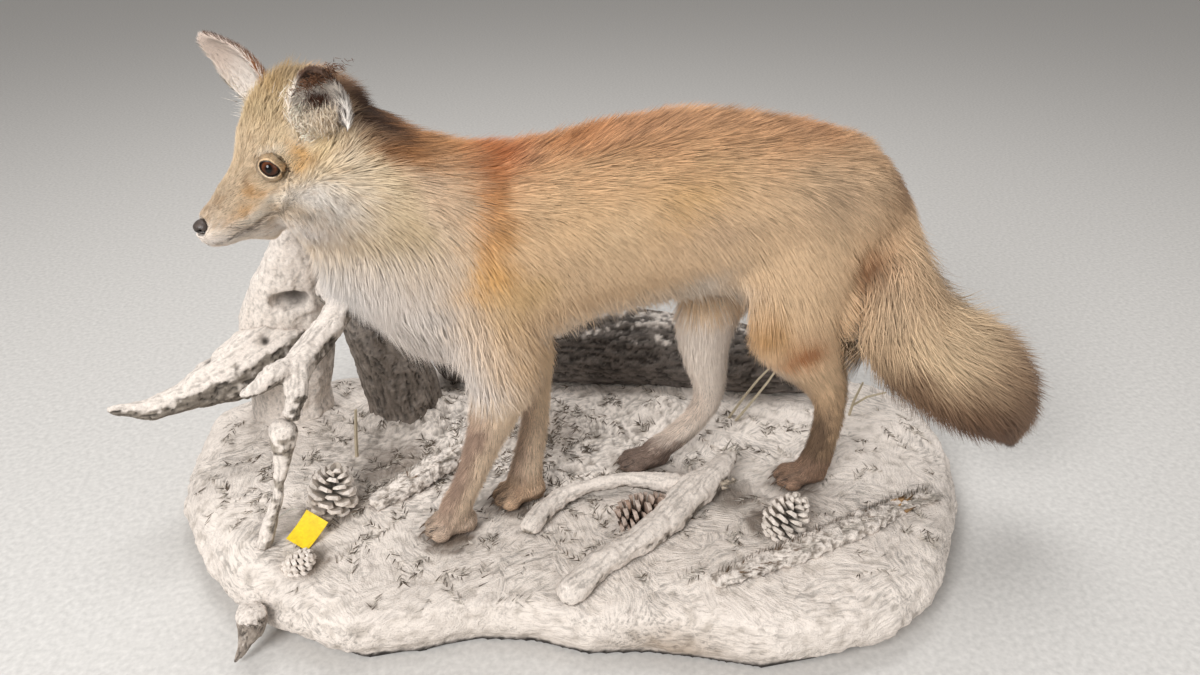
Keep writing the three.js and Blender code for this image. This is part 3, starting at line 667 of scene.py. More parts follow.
def eye_centres():
    """Each eye's middle and the way it looks, in the head's frame."""
    for side in (-1, 1):
        middle = np.array([EYE_BACK, side * EYE_OUT, EYE_UP])
        look = unit(np.array([-0.42, side * 0.86, 0.30]))
        corner = np.array([0.82, side * 0.50, -0.60])
        long = unit(corner - look * (corner @ look))
        yield side, middle, look, long, np.cross(look, long) * side


ALMOND = (math.radians(56), math.radians(40))  # half the slit of the lids, along it and across it


def from_slit(away, look, long, high):
    """How far round the eye a way from its middle is: 1 on the edge of the slit, more outside it."""
    way = unit(away)
    along_it = np.arctan2(way @ long, way @ look) / ALMOND[0]
    across_it = np.arcsin(np.clip(way @ high, -1, 1)) / ALMOND[1]
    return np.hypot(along_it, across_it)


def round_eyes(head):
    """For each eye: its middle and look, and each point's way from it, distance and from_slit."""
    for _, centre, look, long, high in eye_centres():
        away = head - centre
        yield centre, look, away, np.linalg.norm(away, axis=1), from_slit(away, look, long, high)


# Round each eye, the face starts this many slit's widths out. From the ball's middle it is then so far.
SOCKET_RIM = (1.03, 1.22)
SOCKET_FLOOR, SOCKET_STEP, SOCKET_SLOPE = EYE_RADIUS * 0.8, 5.2, 7
OVER_BALL = EYE_RADIUS * 1.04 + 1.8


def shape_face(points, on_head):
    """The outline's face: sockets round the eyes, full cheeks, a deep jaw and the slit of the lips."""
    head = to_head(points)
    for centre, look, away, far, out in round_eyes(head):
        chosen = on_head & (far < 22) & (away @ look > -2)
        on_rim = rise(*SOCKET_RIM, out)
        depth = SOCKET_FLOOR + SOCKET_STEP * on_rim + SOCKET_SLOPE * np.maximum(out - 1.3, 0)
        reach = np.maximum(np.minimum(depth, far), OVER_BALL * on_rim)
        head[chosen] = centre + away[chosen] / far[chosen, None] * reach[chosen, None]
    # The lips, the chin and the bridge are fuller than in the solid, the jaw deeper, the brow lower.
    swell = 2.4 * near(head, (13, 0, 0), (13, 30, 9)) + 1.8 * near(head, (14, 0, -16), (16, 30, 9))
    swell += 3.2 * near(head, (37, 0, 16), (13, 22, 10)) + 1.5 * near(head, (16, 12, -8), (10, 8, 8))
    head[:, 2] -= 15 * near(head, (52, 0, -31), (15, 26, 10)) * on_head
    head += np.array([0.6, 0, -0.8]) * (3.2 * near(head, (54, 0, 34), (14, 22, 13)) * on_head)[:, None]
    from_middle = unit(head - np.array([24, 0, -8]))
    head += from_middle * (swell * on_head)[:, None]
    inward = np.array([0.2, 0, 0.15])
    # The lips meet in a slit.
    slit = rise(3.0, 0.6, to_mouth(head)) * rise(70, 56, head[:, 0]) * on_head
    head[:, 1] -= np.sign(head[:, 1]) * 1.2 * slit
    head += inward * slit[:, None]
    return from_head(head)


def flesh_tree():
    """The flesh's solids as one tree, and the part of the fox that each of its triangles is on."""
    corners, faces, owner = [], [], []
    for name in FLESH:
        solid = NODES[name].data
        solid.calc_loop_triangles()
        faces += [[i + len(corners) for i in t.vertices] for t in solid.loop_triangles]
        owner += [PART_NAMES.index(PARTS[name])] * len(solid.loop_triangles)
        corners += [v.co / MM for v in solid.vertices]
    return BVHTree.FromPolygons(corners, faces), np.array(owner)


def settle_outline(body, tree, named, low):
    """The outline evened out, most on the trunk, and put back on the solids at the face and feet."""
    rate = np.select([named["trunk"] | named["neck"] | named["tail"], named["head"]], [0.5, 0.12], 0.22)
    rate = body.settled(np.where(low, 0.06, rate), 6)
    body.points = body.settled(body.points, 22, rate)
    true = (body.points[:, 2] < 84) | (named["head"] & (to_head(body.points)[:, 0] < 100))
    body.points[true] = np.array([tree.find_nearest(p)[0] for p in body.points[true].tolist()])
    body.points = body.settled(body.points, 3, 0.4 * (low | named["head"]))
    body.points = shape_face(body.points, named["head"])
    body.points = body.settled(body.points, 2, 0.3 * named["head"])


def build_outline():
    """The fox's outline out to the tips of its coat, with the values that steer the coat."""
    body = Surface(refined(refined(remeshed(FLESH, VOXEL), fine_part), eyes_and_lips))
    tree, owner = flesh_tree()
    part = owner[[tree.find_nearest(p)[2] for p in body.points.tolist()]]
    named = {name: part == i for i, name in enumerate(PART_NAMES)}
    low = body.points[:, 2] < 95
    settle_outline(body, tree, named, low)
    head = to_head(body.points)

    # Near the eyes every tuft takes the way its eye looks, so no socket's wall is shaded dark.
    normals = body.normals()
    for _, look, _, far, _ in round_eyes(head):
        close = 0.75 * rise(21, 13, far)[:, None]
        normals = unit(normals * (1 - close) + unit(look + [0, 0, 0.3]) @ HEAD_AXES * close)

    # How deep the coat is, as a share of the way in to the bones' line.
    depth = np.zeros(len(head))
    guide = np.zeros((len(head), 3))
    shares = {"trunk": 0.18, "tail": 0.6}
    for name, here in named.items():
        _, out, way = along(body.points[here], name)
        depth[here] = shares.get(name, 0.27) * np.linalg.norm(out, axis=1)
        guide[here] = way
    cheeks = rise(70, 105, head[:, 0] + 0.5 * np.maximum(-head[:, 2], 0))
    muzzle = 1.2 + 1.6 * rise(30, 75, head[:, 0]) + 2.2 * rise(75, 110, head[:, 0]) * (head[:, 2] > 20)
    depth = np.where(named["head"], muzzle + 9 * cheeks * rise(30, -10, head[:, 2]), depth)
    depth = np.where(low & sum(named[leg] for leg in LEGS), 1.4, depth)
    depth = body.settled(depth, 20)

    # Round the eyes the hair is short, and there is none on the lids and the nose.
    eye_clear = np.full(len(head), 99.0)
    bare = near(head, NOSE_PAD, (9, 10, 9)) > 0.6
    for _, look, away, far, out in round_eyes(head):
        eye_clear = np.minimum(eye_clear, np.where(far < 30, 2.4 + 0.5 * np.maximum(far - 11, 0), 99))
        bare |= (far < 13) & (away @ look > 0) & (out < 1.12)

    for name, lie in [("trunk", trunk_lie(body.points)), ("neck", neck_lie(body.points)),
                      ("head", head_lie(head))]:
        guide[named[name]] = lie[named[name]]
    for leg in LEGS:
        guide[named[leg]] += [0.12, 0, 0]
    guide = body.settled(guide, 16)
    guide = unit(guide - normals * (guide * normals).sum(1, keepdims=True))

    body.values = {
        "normal": normals, "lie": guide, "depth": depth,
        "length": np.minimum(body.settled(hair_length(body, named, head), 20), eye_clear),
        "share": body.settled(np.stack([named[name] for name in PART_NAMES], 1), 24),
        "droop": body.settled(
            8.0 * (named["trunk"] | named["neck"]) * rise(335, 285, body.points[:, 2]), 6),
    }
    return body, named, bare


def back_and_down(drop):
    return np.stack([np.ones_like(drop), np.zeros_like(drop), -drop], 1)


def trunk_lie(points):
    """Back along the spine, and steeper down the flanks, the shoulders and the rump."""
    x, _, z = points.T
    drop = 0.18 + 1.7 * rise(455, 300, z)
    drop += 0.6 * rise(-40, -150, x) * rise(440, 360, z) + 0.7 * rise(120, 300, x) * rise(440, 380, z)
    return back_and_down(drop)


def neck_lie(points):
    """Back and down from the head, straight down on the chest."""
    x, _, z = points.T
    return back_and_down(0.35 + 2.2 * rise(460, 350, z) + 1.2 * rise(-150, -215, x) * rise(440, 380, z))


def head_lie(head):
    """Away from the nose, up over the brow and down across the cheeks. Head's frame in, fox's out."""
    x, y, z = head.T
    lift = 0.5 * rise(15, 40, z) * rise(60, 80, x) - 0.95 * rise(55, 85, x) * rise(18, -12, z)
    spread = 0.35 * np.sign(y) * rise(50, 80, x) * rise(10, -10, z)
    return np.stack([np.ones_like(x), spread, lift], 1) @ HEAD_AXES


def hair_length(body, named, head):
    """Millimetres from root to tip."""
    x, _, z = body.points.T
    length = np.full(len(x), 30.0)
    length += 8 * named["neck"] + 8 * rise(330, 290, z) * named["trunk"]
    length = np.where(named["tail"], 52, length)
    face = 4.2 + 3.5 * rise(35, 75, head[:, 0]) + 6 * rise(75, 105, head[:, 0])
    face += 15 * rise(75, 110, head[:, 0]) * rise(30, -5, head[:, 2])
    length = np.where(named["head"], face, length)
    for leg in LEGS:
        top = 20 if leg.startswith("hind") else 9
        length = np.where(named[leg], 8 + top * rise(140, 245, z), length)
    return np.where(z < 90, 5.5, length)


# ---- The coat, lock by lock ----

HAIR_GAIN = 1.37  # hair shades itself, so each tuft is lighter than the coat looks
PALEST = 0.9  # the brightest channel of any tuft; a paler one is dimmed and keeps its hue
PATCH = 0.003  # across each lock's patch of the OFBake map


def scattered(surface, density, rng):
    """Places on a surface, so many per square millimetre: their triangles and weights there."""
    a, b, c = (surface.points[surface.triangles[:, i]] for i in range(3))
    area = 0.5 * np.linalg.norm(np.cross(b - a, c - a), axis=1)
    total = np.cumsum(area * density[surface.triangles].mean(1))
    count = int(total[-1])
    steps = (np.arange(count) + rng.random(count)) / count * total[-1]
    triangle = np.minimum(np.searchsorted(total, steps), len(area) - 1)
    weights = rng.random((count, 2))
    weights[weights.sum(1) > 1] = 1 - weights[weights.sum(1) > 1]
    return triangle, np.column_stack([1 - weights.sum(1), weights])


def clump_shift(roots, lie, every, rng):
    """From each root, sideways to the middle of the lock it falls in."""
    centres = roots[rng.permutation(len(roots))[:max(len(roots) // every, 1)]]
    finder = kdtree.KDTree(len(centres))
    for i, centre in enumerate(centres.tolist()):
        finder.insert(centre, i)
    finder.balance()
    nearest = [finder.find(root)[1] for root in roots.tolist()]
    shift = centres[nearest] - roots
    return shift - lie * (shift * lie).sum(1, keepdims=True), np.array(nearest)


def body_colours(roots, here):
    """The markings where each tuft is rooted, uneven the way a real coat is: in soft patches
    everywhere, and frosted with dark and pale tips over the back and the haunches."""
    patches = lumps(roots * [0.6, 1, 1], 30, 2, 3.3)
    wander = 3 * here["stray"] + patches[:, None] * [14, 0, 9]
    face = here["share"][:, PART_NAMES.index("head")][:, None]
    colours = markings(roots + wander * (1 - 0.6 * face), here["share"], here["normal"])
    _, _, z = roots.T
    # Darker streaks along the lie on the face, as where a dressed face has been brushed.
    streaks = lumps(to_head(roots) * [0.4, 1, 1], 4.5, 2, 8.1)
    colours = mixed(colours, 0.4 * face[:, 0] * rise(0.05, 0.5, streaks), "#8d7050")
    frost = 0.10 + 0.20 * rise(350, 430, z) + 0.05 * here["share"][:, PART_NAMES.index("tail")]
    tone = 1 + (0.16 * patches + frost * here["stray"][:, 0]) * (1 - 0.75 * face[:, 0])
    return colours * np.clip(tone, 0.45, 1.6)[:, None]


def coat_piece(name, surface, tree, density, colour_at, unrolled, seed, material, slot, width=1.25,
               rings=1, every=13, gather=0.35, lift=(0.6, 1.0), ragged=0.25, spread=0.10,
               shading=(0.86, 1.06), uneven=0.06):
    """A stretch of coat as solid tufts. Each one rises from the skin along the lie and thins to its
    tip, bending over if it is long, and tufts that share a lock lean together."""
    rng = np.random.default_rng(seed)
    triangle, weights = scattered(surface, density, rng)
    count = len(triangle)
    roots = (surface.points[surface.triangles[triangle]] * weights[:, :, None]).sum(1)
    here = surface.at(triangle, weights)
    lie = unit(here["lie"] + rng.normal(0, spread, (count, 3)))
    length = here["length"] * rng.uniform(0.75, 1.2, count)
    shift, lock = clump_shift(roots, lie, every, rng)

    # Step along the lie over the outline, and sink each stop below it.
    stops, normals, depths = [roots], [here["normal"]], [here["depth"]]
    reach = roots
    for _ in range(rings):
        hits = [tree.find_nearest(p) for p in (reach + lie * length[:, None] / rings).tolist()]
        reach = np.array([hit[0] for hit in hits])
        there = surface.at(np.array([hit[2] for hit in hits]))
        lie = unit(0.5 * lie + 0.5 * there["lie"])
        stops.append(reach)
        normals.append(there["normal"])
        depths.append(there["depth"])
    proud = rng.normal(0, 0.13, count)[lock]
    levels = [np.full(count, -0.04), lift[1] + proud - ragged * rng.random(count) ** 1.5]
    if rings == 2:
        levels.insert(1, lift[0] + 0.12 * rng.normal(size=count))
    path = [stop - normal * (deep * (1 - level))[:, None]
            for stop, normal, deep, level in zip(stops, normals, depths, levels)]
    path[-1] = path[-1] + gather * shift + rng.normal(0, 0.05, (count, 3)) * length[:, None]
    path[-1][:, 2] -= here["droop"]

    # The solid: rings of three round the path, and a point. Its shading follows the coat's outline.
    wide = width * rng.uniform(0.7, 1.25, count) * np.clip(length / 20, 0.45, 1.0)
    points, facing = [], []
    for ring in range(rings):
        way = path[ring + 1] - path[ring]
        side = unit(np.cross(way, normals[0]))
        top = unit(np.cross(side, way))
        half = (wide / 2)[:, None]
        for across, up in [(-1, -0.3), (1, -0.3), (0, 0.6)]:
            points.append(path[ring] + side * half * across + top * half * up)
            facing.append(unit(normals[ring] + 0.4 * side * across + 0.25 * top * up))
    points = np.stack(points + [path[-1]], 1)
    facing = np.stack(facing + [normals[-1]], 1)
    last = 3 * rings
    faces = [(0, 1, 2)] + tube(3, rings)
    faces += [(last - 3 + corner, last, last - 3 + (corner + 1) % 3) for corner in range(3)]

    # Colour: that of the root's place, darker at the root as painted shade deep in the coat, and a little
    # different in each tuft.
    here["stray"] = 0.7 * rng.normal(0, 1, (count, 3)) + 0.7 * rng.normal(0, 1, (count, 3))[lock]
    tone = HAIR_GAIN * rng.normal(1, uneven, count)[lock]
    along_tuft = np.append(np.repeat(np.arange(rings) / 2, 3), 1.0)
    shades = shading[0] + (shading[1] - shading[0]) * along_tuft
    colours = colour_at(0.45 * roots + 0.55 * reach, here) * tone[:, None]
    colours = colours[:, None, :] * shades[None, :, None]
    colours = colours * np.minimum(1, PALEST / np.maximum(colours.max(-1, keepdims=True), 0.01))

    across = np.append(np.tile([-0.5, 0.5, 0.0], rings), 0.0)
    patch = unrolled(roots)[:, None, :] + PATCH * np.stack([across, along_tuft - 0.5], 1)[None]
    tufts = mesh_of(name, points * MM, faces, colours, material, patch)
    tufts.data.normals_split_custom_set_from_vertices(facing.reshape(-1, 3))
    return piece(tufts, slot)


def tube(around, rings):
    """The triangles that join rings of points, each so many points round."""
    faces = []
    for first in range(0, around * (rings - 1), around):
        for k in range(around):
            a, b = first + k, first + (k + 1) % around
            faces += [(a, a + around, b), (b, a + around, b + around)]
    return faces


def mesh_of(name, points, faces, colours, material, patch=None):
    """Many copies of one small solid as a single mesh, with its markings and its OFBake map."""
    count, size, _ = points.shape
    corner = (np.arange(count)[:, None, None] * size + np.array(faces)[None]).reshape(-1)
    mesh = bpy.data.meshes.new(name)
    mesh.vertices.add(count * size)
    mesh.vertices.foreach_set("co", points.astype(np.float32).ravel())
    mesh.loops.add(len(corner))
    mesh.loops.foreach_set("vertex_index", corner.astype(np.int32))
    mesh.polygons.add(len(corner) // 3)
    mesh.polygons.foreach_set("loop_start", np.arange(0, len(corner), 3, dtype=np.int32))
    smooth_mesh(mesh)
    paint(mesh, colours.reshape(-1, 3))
    if patch is not None:
        layer = mesh.uv_layers.new(name="OFBake")
        layer.data.foreach_set("uv", np.clip(patch.reshape(-1, 2)[corner], 0, 1).astype(np.float32).ravel())
    mesh.materials.append(material)
    mesh.update(calc_edges=True)
    return put(name, mesh)


def unroll(*parts):
    """The skin's own unwrap: along each part's line and round it, each part in its own strip."""
    def chart(points):
        best = np.full(len(points), np.inf)
        out = np.zeros((len(points), 2))
        for i, part in enumerate(parts):
            share, away, way = along(points, part)
            level = np.where(np.abs(way[:, 2:]) > 0.8, [[1.0, 0, 0]], [[0, 0, 1.0]])
            side = unit(np.cross(way, level))
            high = np.cross(side, way)
            turn = np.arctan2((away * side).sum(1), (away * high).sum(1)) / (2 * math.pi) + 0.5
            far = np.linalg.norm(away, axis=1)
            closer = far < best
            best[closer] = far[closer]
            placed = np.stack([(i + 0.02 + 0.96 * share) / len(parts), 0.004 + 0.992 * turn], 1)
            out[closer] = placed[closer]
        return out
    return chart


def build_fox():
    body, named, bare = build_outline()
    normals, depth = body.values["normal"], body.values["depth"]
    colours = markings(body.points, body.values["share"], normals)
    skin_points = body.settled(body.points - normals * depth[:, None], 2)
    skin = body.show(skin_points, colours * 0.72, "skin", fox_skin())
    skin.data = made_of(skin, "DECIMATE", ratio=0.5)
    piece(skin, "coat", *FLESH)

    hair = fox_hair()
    tree = body.tree()

    x, y, z = body.points.T
    fore = named["foreleg_left"] | named["foreleg_right"]
    hind = named["hindleg_left"] | named["hindleg_right"]
    head = to_head(body.points)
    face = named["head"] & (head[:, 0] < 92)
    crown = named["head"] & (head[:, 2] > 42) & (head[:, 0] > 76) & (head[:, 0] < 122)
    trunk, left = named["trunk"], y < 0
    long = {"rings": 2, "width": 1.0, "ragged": 0.6, "lift": (0.66, 1.25), "spread": 0.2}
    fringe = {"rings": 2, "width": 0.85, "ragged": 0.6, "lift": (0.8, 1.6), "gather": 0.6, "spread": 0.2}
    wisps = {"rings": 2, "width": 0.85, "ragged": 1.1, "lift": (1.0, 2.3), "gather": 0.6, "spread": 0.25}
    stretches = [
        ("coat_shoulder_left", trunk & (x < 40) & left, ["trunk"], 0.72, {}),
        ("coat_shoulder_right", trunk & (x < 40) & ~left, ["trunk"], 0.50, {}),
        ("coat_flank_left", trunk & (x >= 40) & left, ["trunk"], 0.62, {}),
        ("coat_flank_right", trunk & (x >= 40) & ~left, ["trunk"], 0.44, {}),
        ("coat_neck", named["neck"], ["neck"], 0.90,
         {"width": 1.0, "shading": (0.9, 1.04), "uneven": 0.04}),
        ("coat_tail", named["tail"], ["tail"], 0.22, {}),
        ("coat_tail_long", named["tail"], ["tail"], 0.14, long),
        ("coat_head", named["head"] & ~face, ["head"], 1.0, {"lift": (0.7, 1.1), "ragged": 0.4}),
        ("coat_face", face & ~bare, ["head"], 2.1,
         {"width": 1.1, "gather": 0.2, "shading": (0.92, 1.04), "uneven": 0.045}),
        ("coat_forelegs", fore, LEGS[:2], 0.62, {"width": 1.0, "uneven": 0.08}),
        ("coat_hindlegs", hind, LEGS[2:], 0.50, {"uneven": 0.08}),
        ("coat_belly", trunk & (z < 322) & (x + y < 60) & (normals[:, 2] < 0.3), ["trunk"], 0.06, fringe),
        ("coat_feathers", (fore | hind) & (z > 118) & (z < 255) & (normals[:, 0] > 0.5), LEGS, 0.07,
         {**fringe, "lift": (0.8, 1.35)}),
        ("coat_crown", crown, ["head"], 0.3, wisps),
    ]
    for seed, (name, chosen, parts, density, options) in enumerate(stretches):
        coat_piece(name, body, tree, chosen * density, body_colours, unroll(*parts), seed, hair,
                   "coat_white" if name == "coat_neck" else "coat", **options)
    for name in EARS:
        build_ear(name, skin, hair)
    build_eyes(hair, tree)
    build_nose()
    build_claws()
    build_whiskers(hair)


# ---- Ears ----

# Each ear in the head's frame: its root, its tip, and the way its cup is open.
EARS = {
    "ear_left": ((107, -50, 21), (128, -62, 80), (-0.5, -0.85, 0.1)),
    "ear_right": ((100, 42, 36), (94, 73, 102), (-0.85, -0.4, 0.2)),
}
EAR_HALF_WIDTH = 25
EAR_CHART_HEIGHT = 90  # what the ear's strip of the OFBake map spans


def ear_surface(name):
    """An ear's outline, with the values that steer its hair."""
    root, tip, opening = (np.array(v, float) for v in EARS[name])
    axis = unit(tip - root)
    opening = unit(opening - axis * (opening @ axis))
    ear, normals = solid_surface(name, 1.5, 6, 0.4)
    head, facing = to_head(ear.points), normals @ HEAD_AXES.T
    tall = np.linalg.norm(tip - root)
    up = ((head - root) @ axis) / tall
    edge = ((head - root) @ np.cross(axis, opening)) / EAR_HALF_WIDTH
    tuck = 9 * rise(0.5, 0.1, up) * rise(0.2, -0.5, edge)
    ear.points = ear.settled(from_head(head - opening * tuck[:, None]), 2, 0.4)
    hollow = root + axis * (up * tall)[:, None] + opening * 4
    inside = ear.settled(rise(-0.2, 0.3, (unit(hollow - head) * facing).sum(1)), 4)
    lie = axis - 0.3 * opening * inside[:, None] + 0.15 * np.cross(axis, opening)
    lie = unit(lie - facing * (lie * facing).sum(1, keepdims=True))
    ear.values = {
        "normal": normals, "lie": lie @ HEAD_AXES, "depth": np.full(len(up), 1.0),
        "length": np.where(inside > 0.5, 14.0, 8.0) * (1 - 0.4 * rise(0.4, 1.0, up)),
        "droop": np.zeros(len(up)), "up": up, "inside": inside, "edge": edge,
    }
    return ear, axis


def ear_colours(name):
    """Inside whitish with a dark canal, outside rust turning dark brown; the left one is worn."""
    def colours_at(points, here):
        up, inside, edge, head = here["up"], here["inside"], here["edge"], to_head(points)
        back = mixed("#84532e", 0.9 * rise(0.25, 0.8, up), "#38200f")
        back = mixed(back, rise(-0.15, -0.6, edge) * rise(0.95, 0.7, up), "#d2bd9f")
        within = rise(0.25, 0.7, inside)[:, None]
        if name == "ear_right":
            cup = mixed("#e3d8ce", 0.5 * rise(0.3, 0.7, up), "#d3b9a8")
            return back + within * (cup - back)
        cup = mixed("#f3e8dc", 0.6 * rise(0.3, 0.0, up), "#ecd2a0")
        worn = rise(0.5, 0.8, edge) * rise(0.1, 0.25, up) * rise(0.8, 0.6, up)
        colours = back + within * (cup - back)
        colours = mixed(colours, 0.85 * worn, "#f2ebe3")
        crack = rise(0.09, 0.03, np.abs(edge - 0.62 - 0.08 * np.sin(up * 34))) * rise(0.15, 0.3, up)
        colours = mixed(colours, 0.9 * crack * rise(0.75, 0.6, up), "#2e1c12")
        colours = mixed(colours, 0.95 * rise(0.74, 0.88, up), "#4a2c18")
        return mixed(colours, 1.2 * near(head, (125, -42, 53), (10, 16, 9)).clip(0, 0.8), "#3a1e0f")
    return colours_at


def build_ear(name, skin, hair):
    """One ear: its cup, joined to the skin, and the short hair on both its sides."""
    ear, axis = ear_surface(name)
    colours_at = ear_colours(name)
    sunk = ear.points - ear.values["normal"] * 0.9
    sunk -= (axis @ HEAD_AXES) * (14 * rise(0.16, 0.0, ear.values["up"]))[:, None]
    colours = colours_at(ear.points, ear.values)
    cup = ear.show(sunk, colours, "cup", skin.data.materials[0])
    skin.data = made_of(skin, "BOOLEAN", operation="UNION", solver="MANIFOLD", object=cup)
    bpy.data.objects.remove(cup)
    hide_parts(name)

    def unrolled(roots):
        from_root = to_head(roots) - np.array(EARS[name][0])
        turn = np.arctan2(from_root[:, 0], from_root[:, 1]) / (2 * math.pi)
        high = from_root[:, 2] / EAR_CHART_HEIGHT
        return np.stack([0.5 + 0.98 * turn, 0.08 + 0.86 * np.clip(high, 0, 1)], 1)

    whole = rise(-0.1, 0.05, ear.values["up"]) * 1.5
    coat_piece("coat_" + name, ear, ear.tree(), whole, colours_at, unrolled, 60 + len(name), hair,
               "coat_white", width=1.3, gather=0.8, lift=(1.0, 4.0), ragged=3.0, spread=0.25,
               shading=(0.7, 1.12))


# ---- Eyes, nose, claws and whiskers ----

def grid_object(name, rows, material, closed=True, colours=None, ends=False):
    """A sheet or a tube through rows of points in millimetres, each row as long as the first."""
    rows = np.asarray(rows, float)
    count, around = rows.shape[:2]
    points = list(rows.reshape(-1, 3) * MM)
    faces = []
    for row in range(count - 1):
        for k in range(around if closed else around - 1):
            a, b = row * around + k, row * around + (k + 1) % around
            faces.append((a, b, b + around, a + around))
    if ends:
        faces += [tuple(range(around))[::-1], tuple(range((count - 1) * around, count * around))]
    thing = new_object(name, points, faces, material)
    if colours is not None:
        paint(thing.data, np.asarray(colours).reshape(-1, 3))
    smooth_mesh(thing.data)
    return thing


def head_hair(name, hair, roots, ends, width, colours):
    """Single hairs on the head, from their roots to their tips in the head's frame."""
    return needles(name, "coat", hair, from_head(roots), from_head(ends), width, colours,
                   unrolled=unroll("head"))


LID_ROWS, LID_TURNS, LID_HAIRS = 11, 64, 1900

# The dark line behind the corner of each eye, in the head's frame: its start, its way and its hairs.
CORNER_START, CORNER_WAY, CORNER_HAIRS = np.array([76.5, 31, 17.0]), np.array([7.4, 1.5, -7.7]), 90


def lid_way(turns, out, look, long, high):
    """The way from the eye's middle to the lids: 0 is the slit's edge, 1 is under the fur."""
    a = ALMOND[0] * np.cos(turns) * (1 + 0.7 * out)
    tall = np.where(np.sin(turns) > 0, 1.0, 0.86)
    b = ALMOND[1] * np.sin(turns + 0.30) * tall * (1 - 0.25 * np.abs(np.cos(turns))) * (1 + 1.25 * out)
    return ((np.cos(a) * np.cos(b))[:, None] * look + (np.sin(a) * np.cos(b))[:, None] * long
            + np.sin(b)[:, None] * high)


def lid_radius(out):
    """How far the lids' surface is from the eye's middle: thickest just outside the slit."""
    return EYE_RADIUS * (1.03 + 0.05 * np.sin(math.pi * np.clip(out * 2.4 + 0.15, 0, 1)))


def build_eyes(hair, tree):
    """The glass eyes, their lids with short hair over them, and the dark line behind each corner."""
    rng = np.random.default_rng(21)
    glass, lid_skin = glass_eye(), eyelid_skin()
    turns = circle(LID_TURNS)
    for side, centre, look, long, high in eye_centres():
        name = "left" if side < 0 else "right"
        # The ball, with the clear front standing a little proud.
        polar = np.linspace(0.001, math.pi - 0.001, 30)
        swell = EYE_RADIUS + 0.5 * rise(0.62, 0.0, polar)
        wide = np.sin(polar) * swell
        ball = np.stack([np.outer(wide, np.cos(turns)), np.outer(wide, np.sin(turns)),
                         np.outer(np.cos(polar) * swell, np.ones_like(turns))], -1)
        eye = grid_object("eye_glass_" + name, ball[::-1], glass, ends=True)
        axes = np.stack([long, high, look]) @ HEAD_AXES
        place = Matrix([list(row) for row in axes.T]).to_4x4()
        place.translation = Vector(from_head(centre) * MM)
        eye.matrix_world = place
        piece(eye, "eyes", "eye_" + name)

        # The lids: from the slit's dark edge outwards, sunk into the face further out.
        rows, colours = [], []
        for out in np.arange(LID_ROWS) / (LID_ROWS - 1):
            rows.append(from_head(centre + lid_way(turns, out, look, long, high) * lid_radius(out)))
            colours.append(mixed("#20150f", np.full(LID_TURNS, rise(0.08, 0.3, out)), "#a58c6c"))
        piece(grid_object("eyelids_" + name, rows, lid_skin, colours=colours), "coat")

        turn, out = rng.uniform(0, 2 * math.pi, LID_HAIRS), rng.uniform(0.13, 0.95, LID_HAIRS)
        starts = centre + lid_way(turn, out, look, long, high) * lid_radius(out)[:, None]
        rim = (lid_radius(out) + 0.3 + 2.6 * out)[:, None]
        ends = centre + lid_way(turn, out + 0.3, look, long, high) * rim
        tint = mixed("#c6ac8a", 0.4 * rise(0.3, 1.0, np.sin(turn)), "#efe2cf")
        tint = mixed(tint, 0.6 * rise(0.98, 0.997, np.cos(turn)), "#46301f")
        head_hair("coat_lids_" + name, hair, starts, ends, 1.0,
                  tint * rng.uniform(1.0, 1.45, (LID_HAIRS, 1)))

        # The line's hairs start on the coat's outline.
        mirror = np.array([1, side, 1])
        line = CORNER_START * mirror + np.linspace(0, 1, CORNER_HAIRS)[:, None] * (CORNER_WAY * mirror)
        line = line + rng.normal(0, 0.2, (CORNER_HAIRS, 3))
        starts = to_head(np.array([tree.find_nearest(p)[0] for p in from_head(line).tolist()]))
        head_hair("coat_corner_line_" + name, hair, starts, starts + unit(CORNER_WAY * mirror) * 3.0, 0.55,
                  plain("#4d3826", CORNER_HAIRS))


def build_nose():
    """The nose pad, with comma nostrils that run out to the side and a groove down the middle."""
    radii = np.array([7.0, 8.0, 6.6])
    polar = np.linspace(0.02, math.pi - 0.02, 44)
    turns = circle(72)
    way = np.stack([-np.outer(np.cos(polar), np.ones_like(turns)), np.outer(np.sin(polar), np.cos(turns)),
                    np.outer(np.sin(polar), np.sin(turns))], -1)
    sunk = np.zeros(way.shape[:2])
    for side in (-1, 1):
        sunk += 5.0 * near(way, unit(np.array([-0.68, side * 0.72, 0.05])), (0.24, 0.20, 0.20))
        sunk += 3.0 * near(way, unit(np.array([-0.38, side * 0.90, -0.22])), (0.30, 0.25, 0.12))
    sunk += 1.0 * near(way, (-0.95, 0, -0.45), (0.5, 0.07, 0.55))
    bulge = 0.6 * near(way, (-0.75, 0, 0.55), (0.5, 0.6, 0.3))
    rows = way * radii * (1 - (sunk - bulge) / radii.mean())[..., None]
    rows[..., 0] += 0.5 * np.maximum(-rows[..., 2], 0)
    rows = rows * [1, 1, 0.95] + NOSE_PAD + [-0.4, 0, -1.0]
    # The pad is painted grey as a painted sheen, and its nostrils and groove near black as painted shade in
    # their hollows.
    colours = mixed("#473d38", rise(0.8, 2.6, sunk).ravel(), "#0a0706")
    nose = grid_object("nose_leather", from_head(rows.reshape(-1, 3)).reshape(rows.shape), nose_leather(),
                       colours=colours, ends=True)
    piece(nose, "nose", "nose_pad")


CLAW_SIDES, CLAW_RINGS = 6, 6


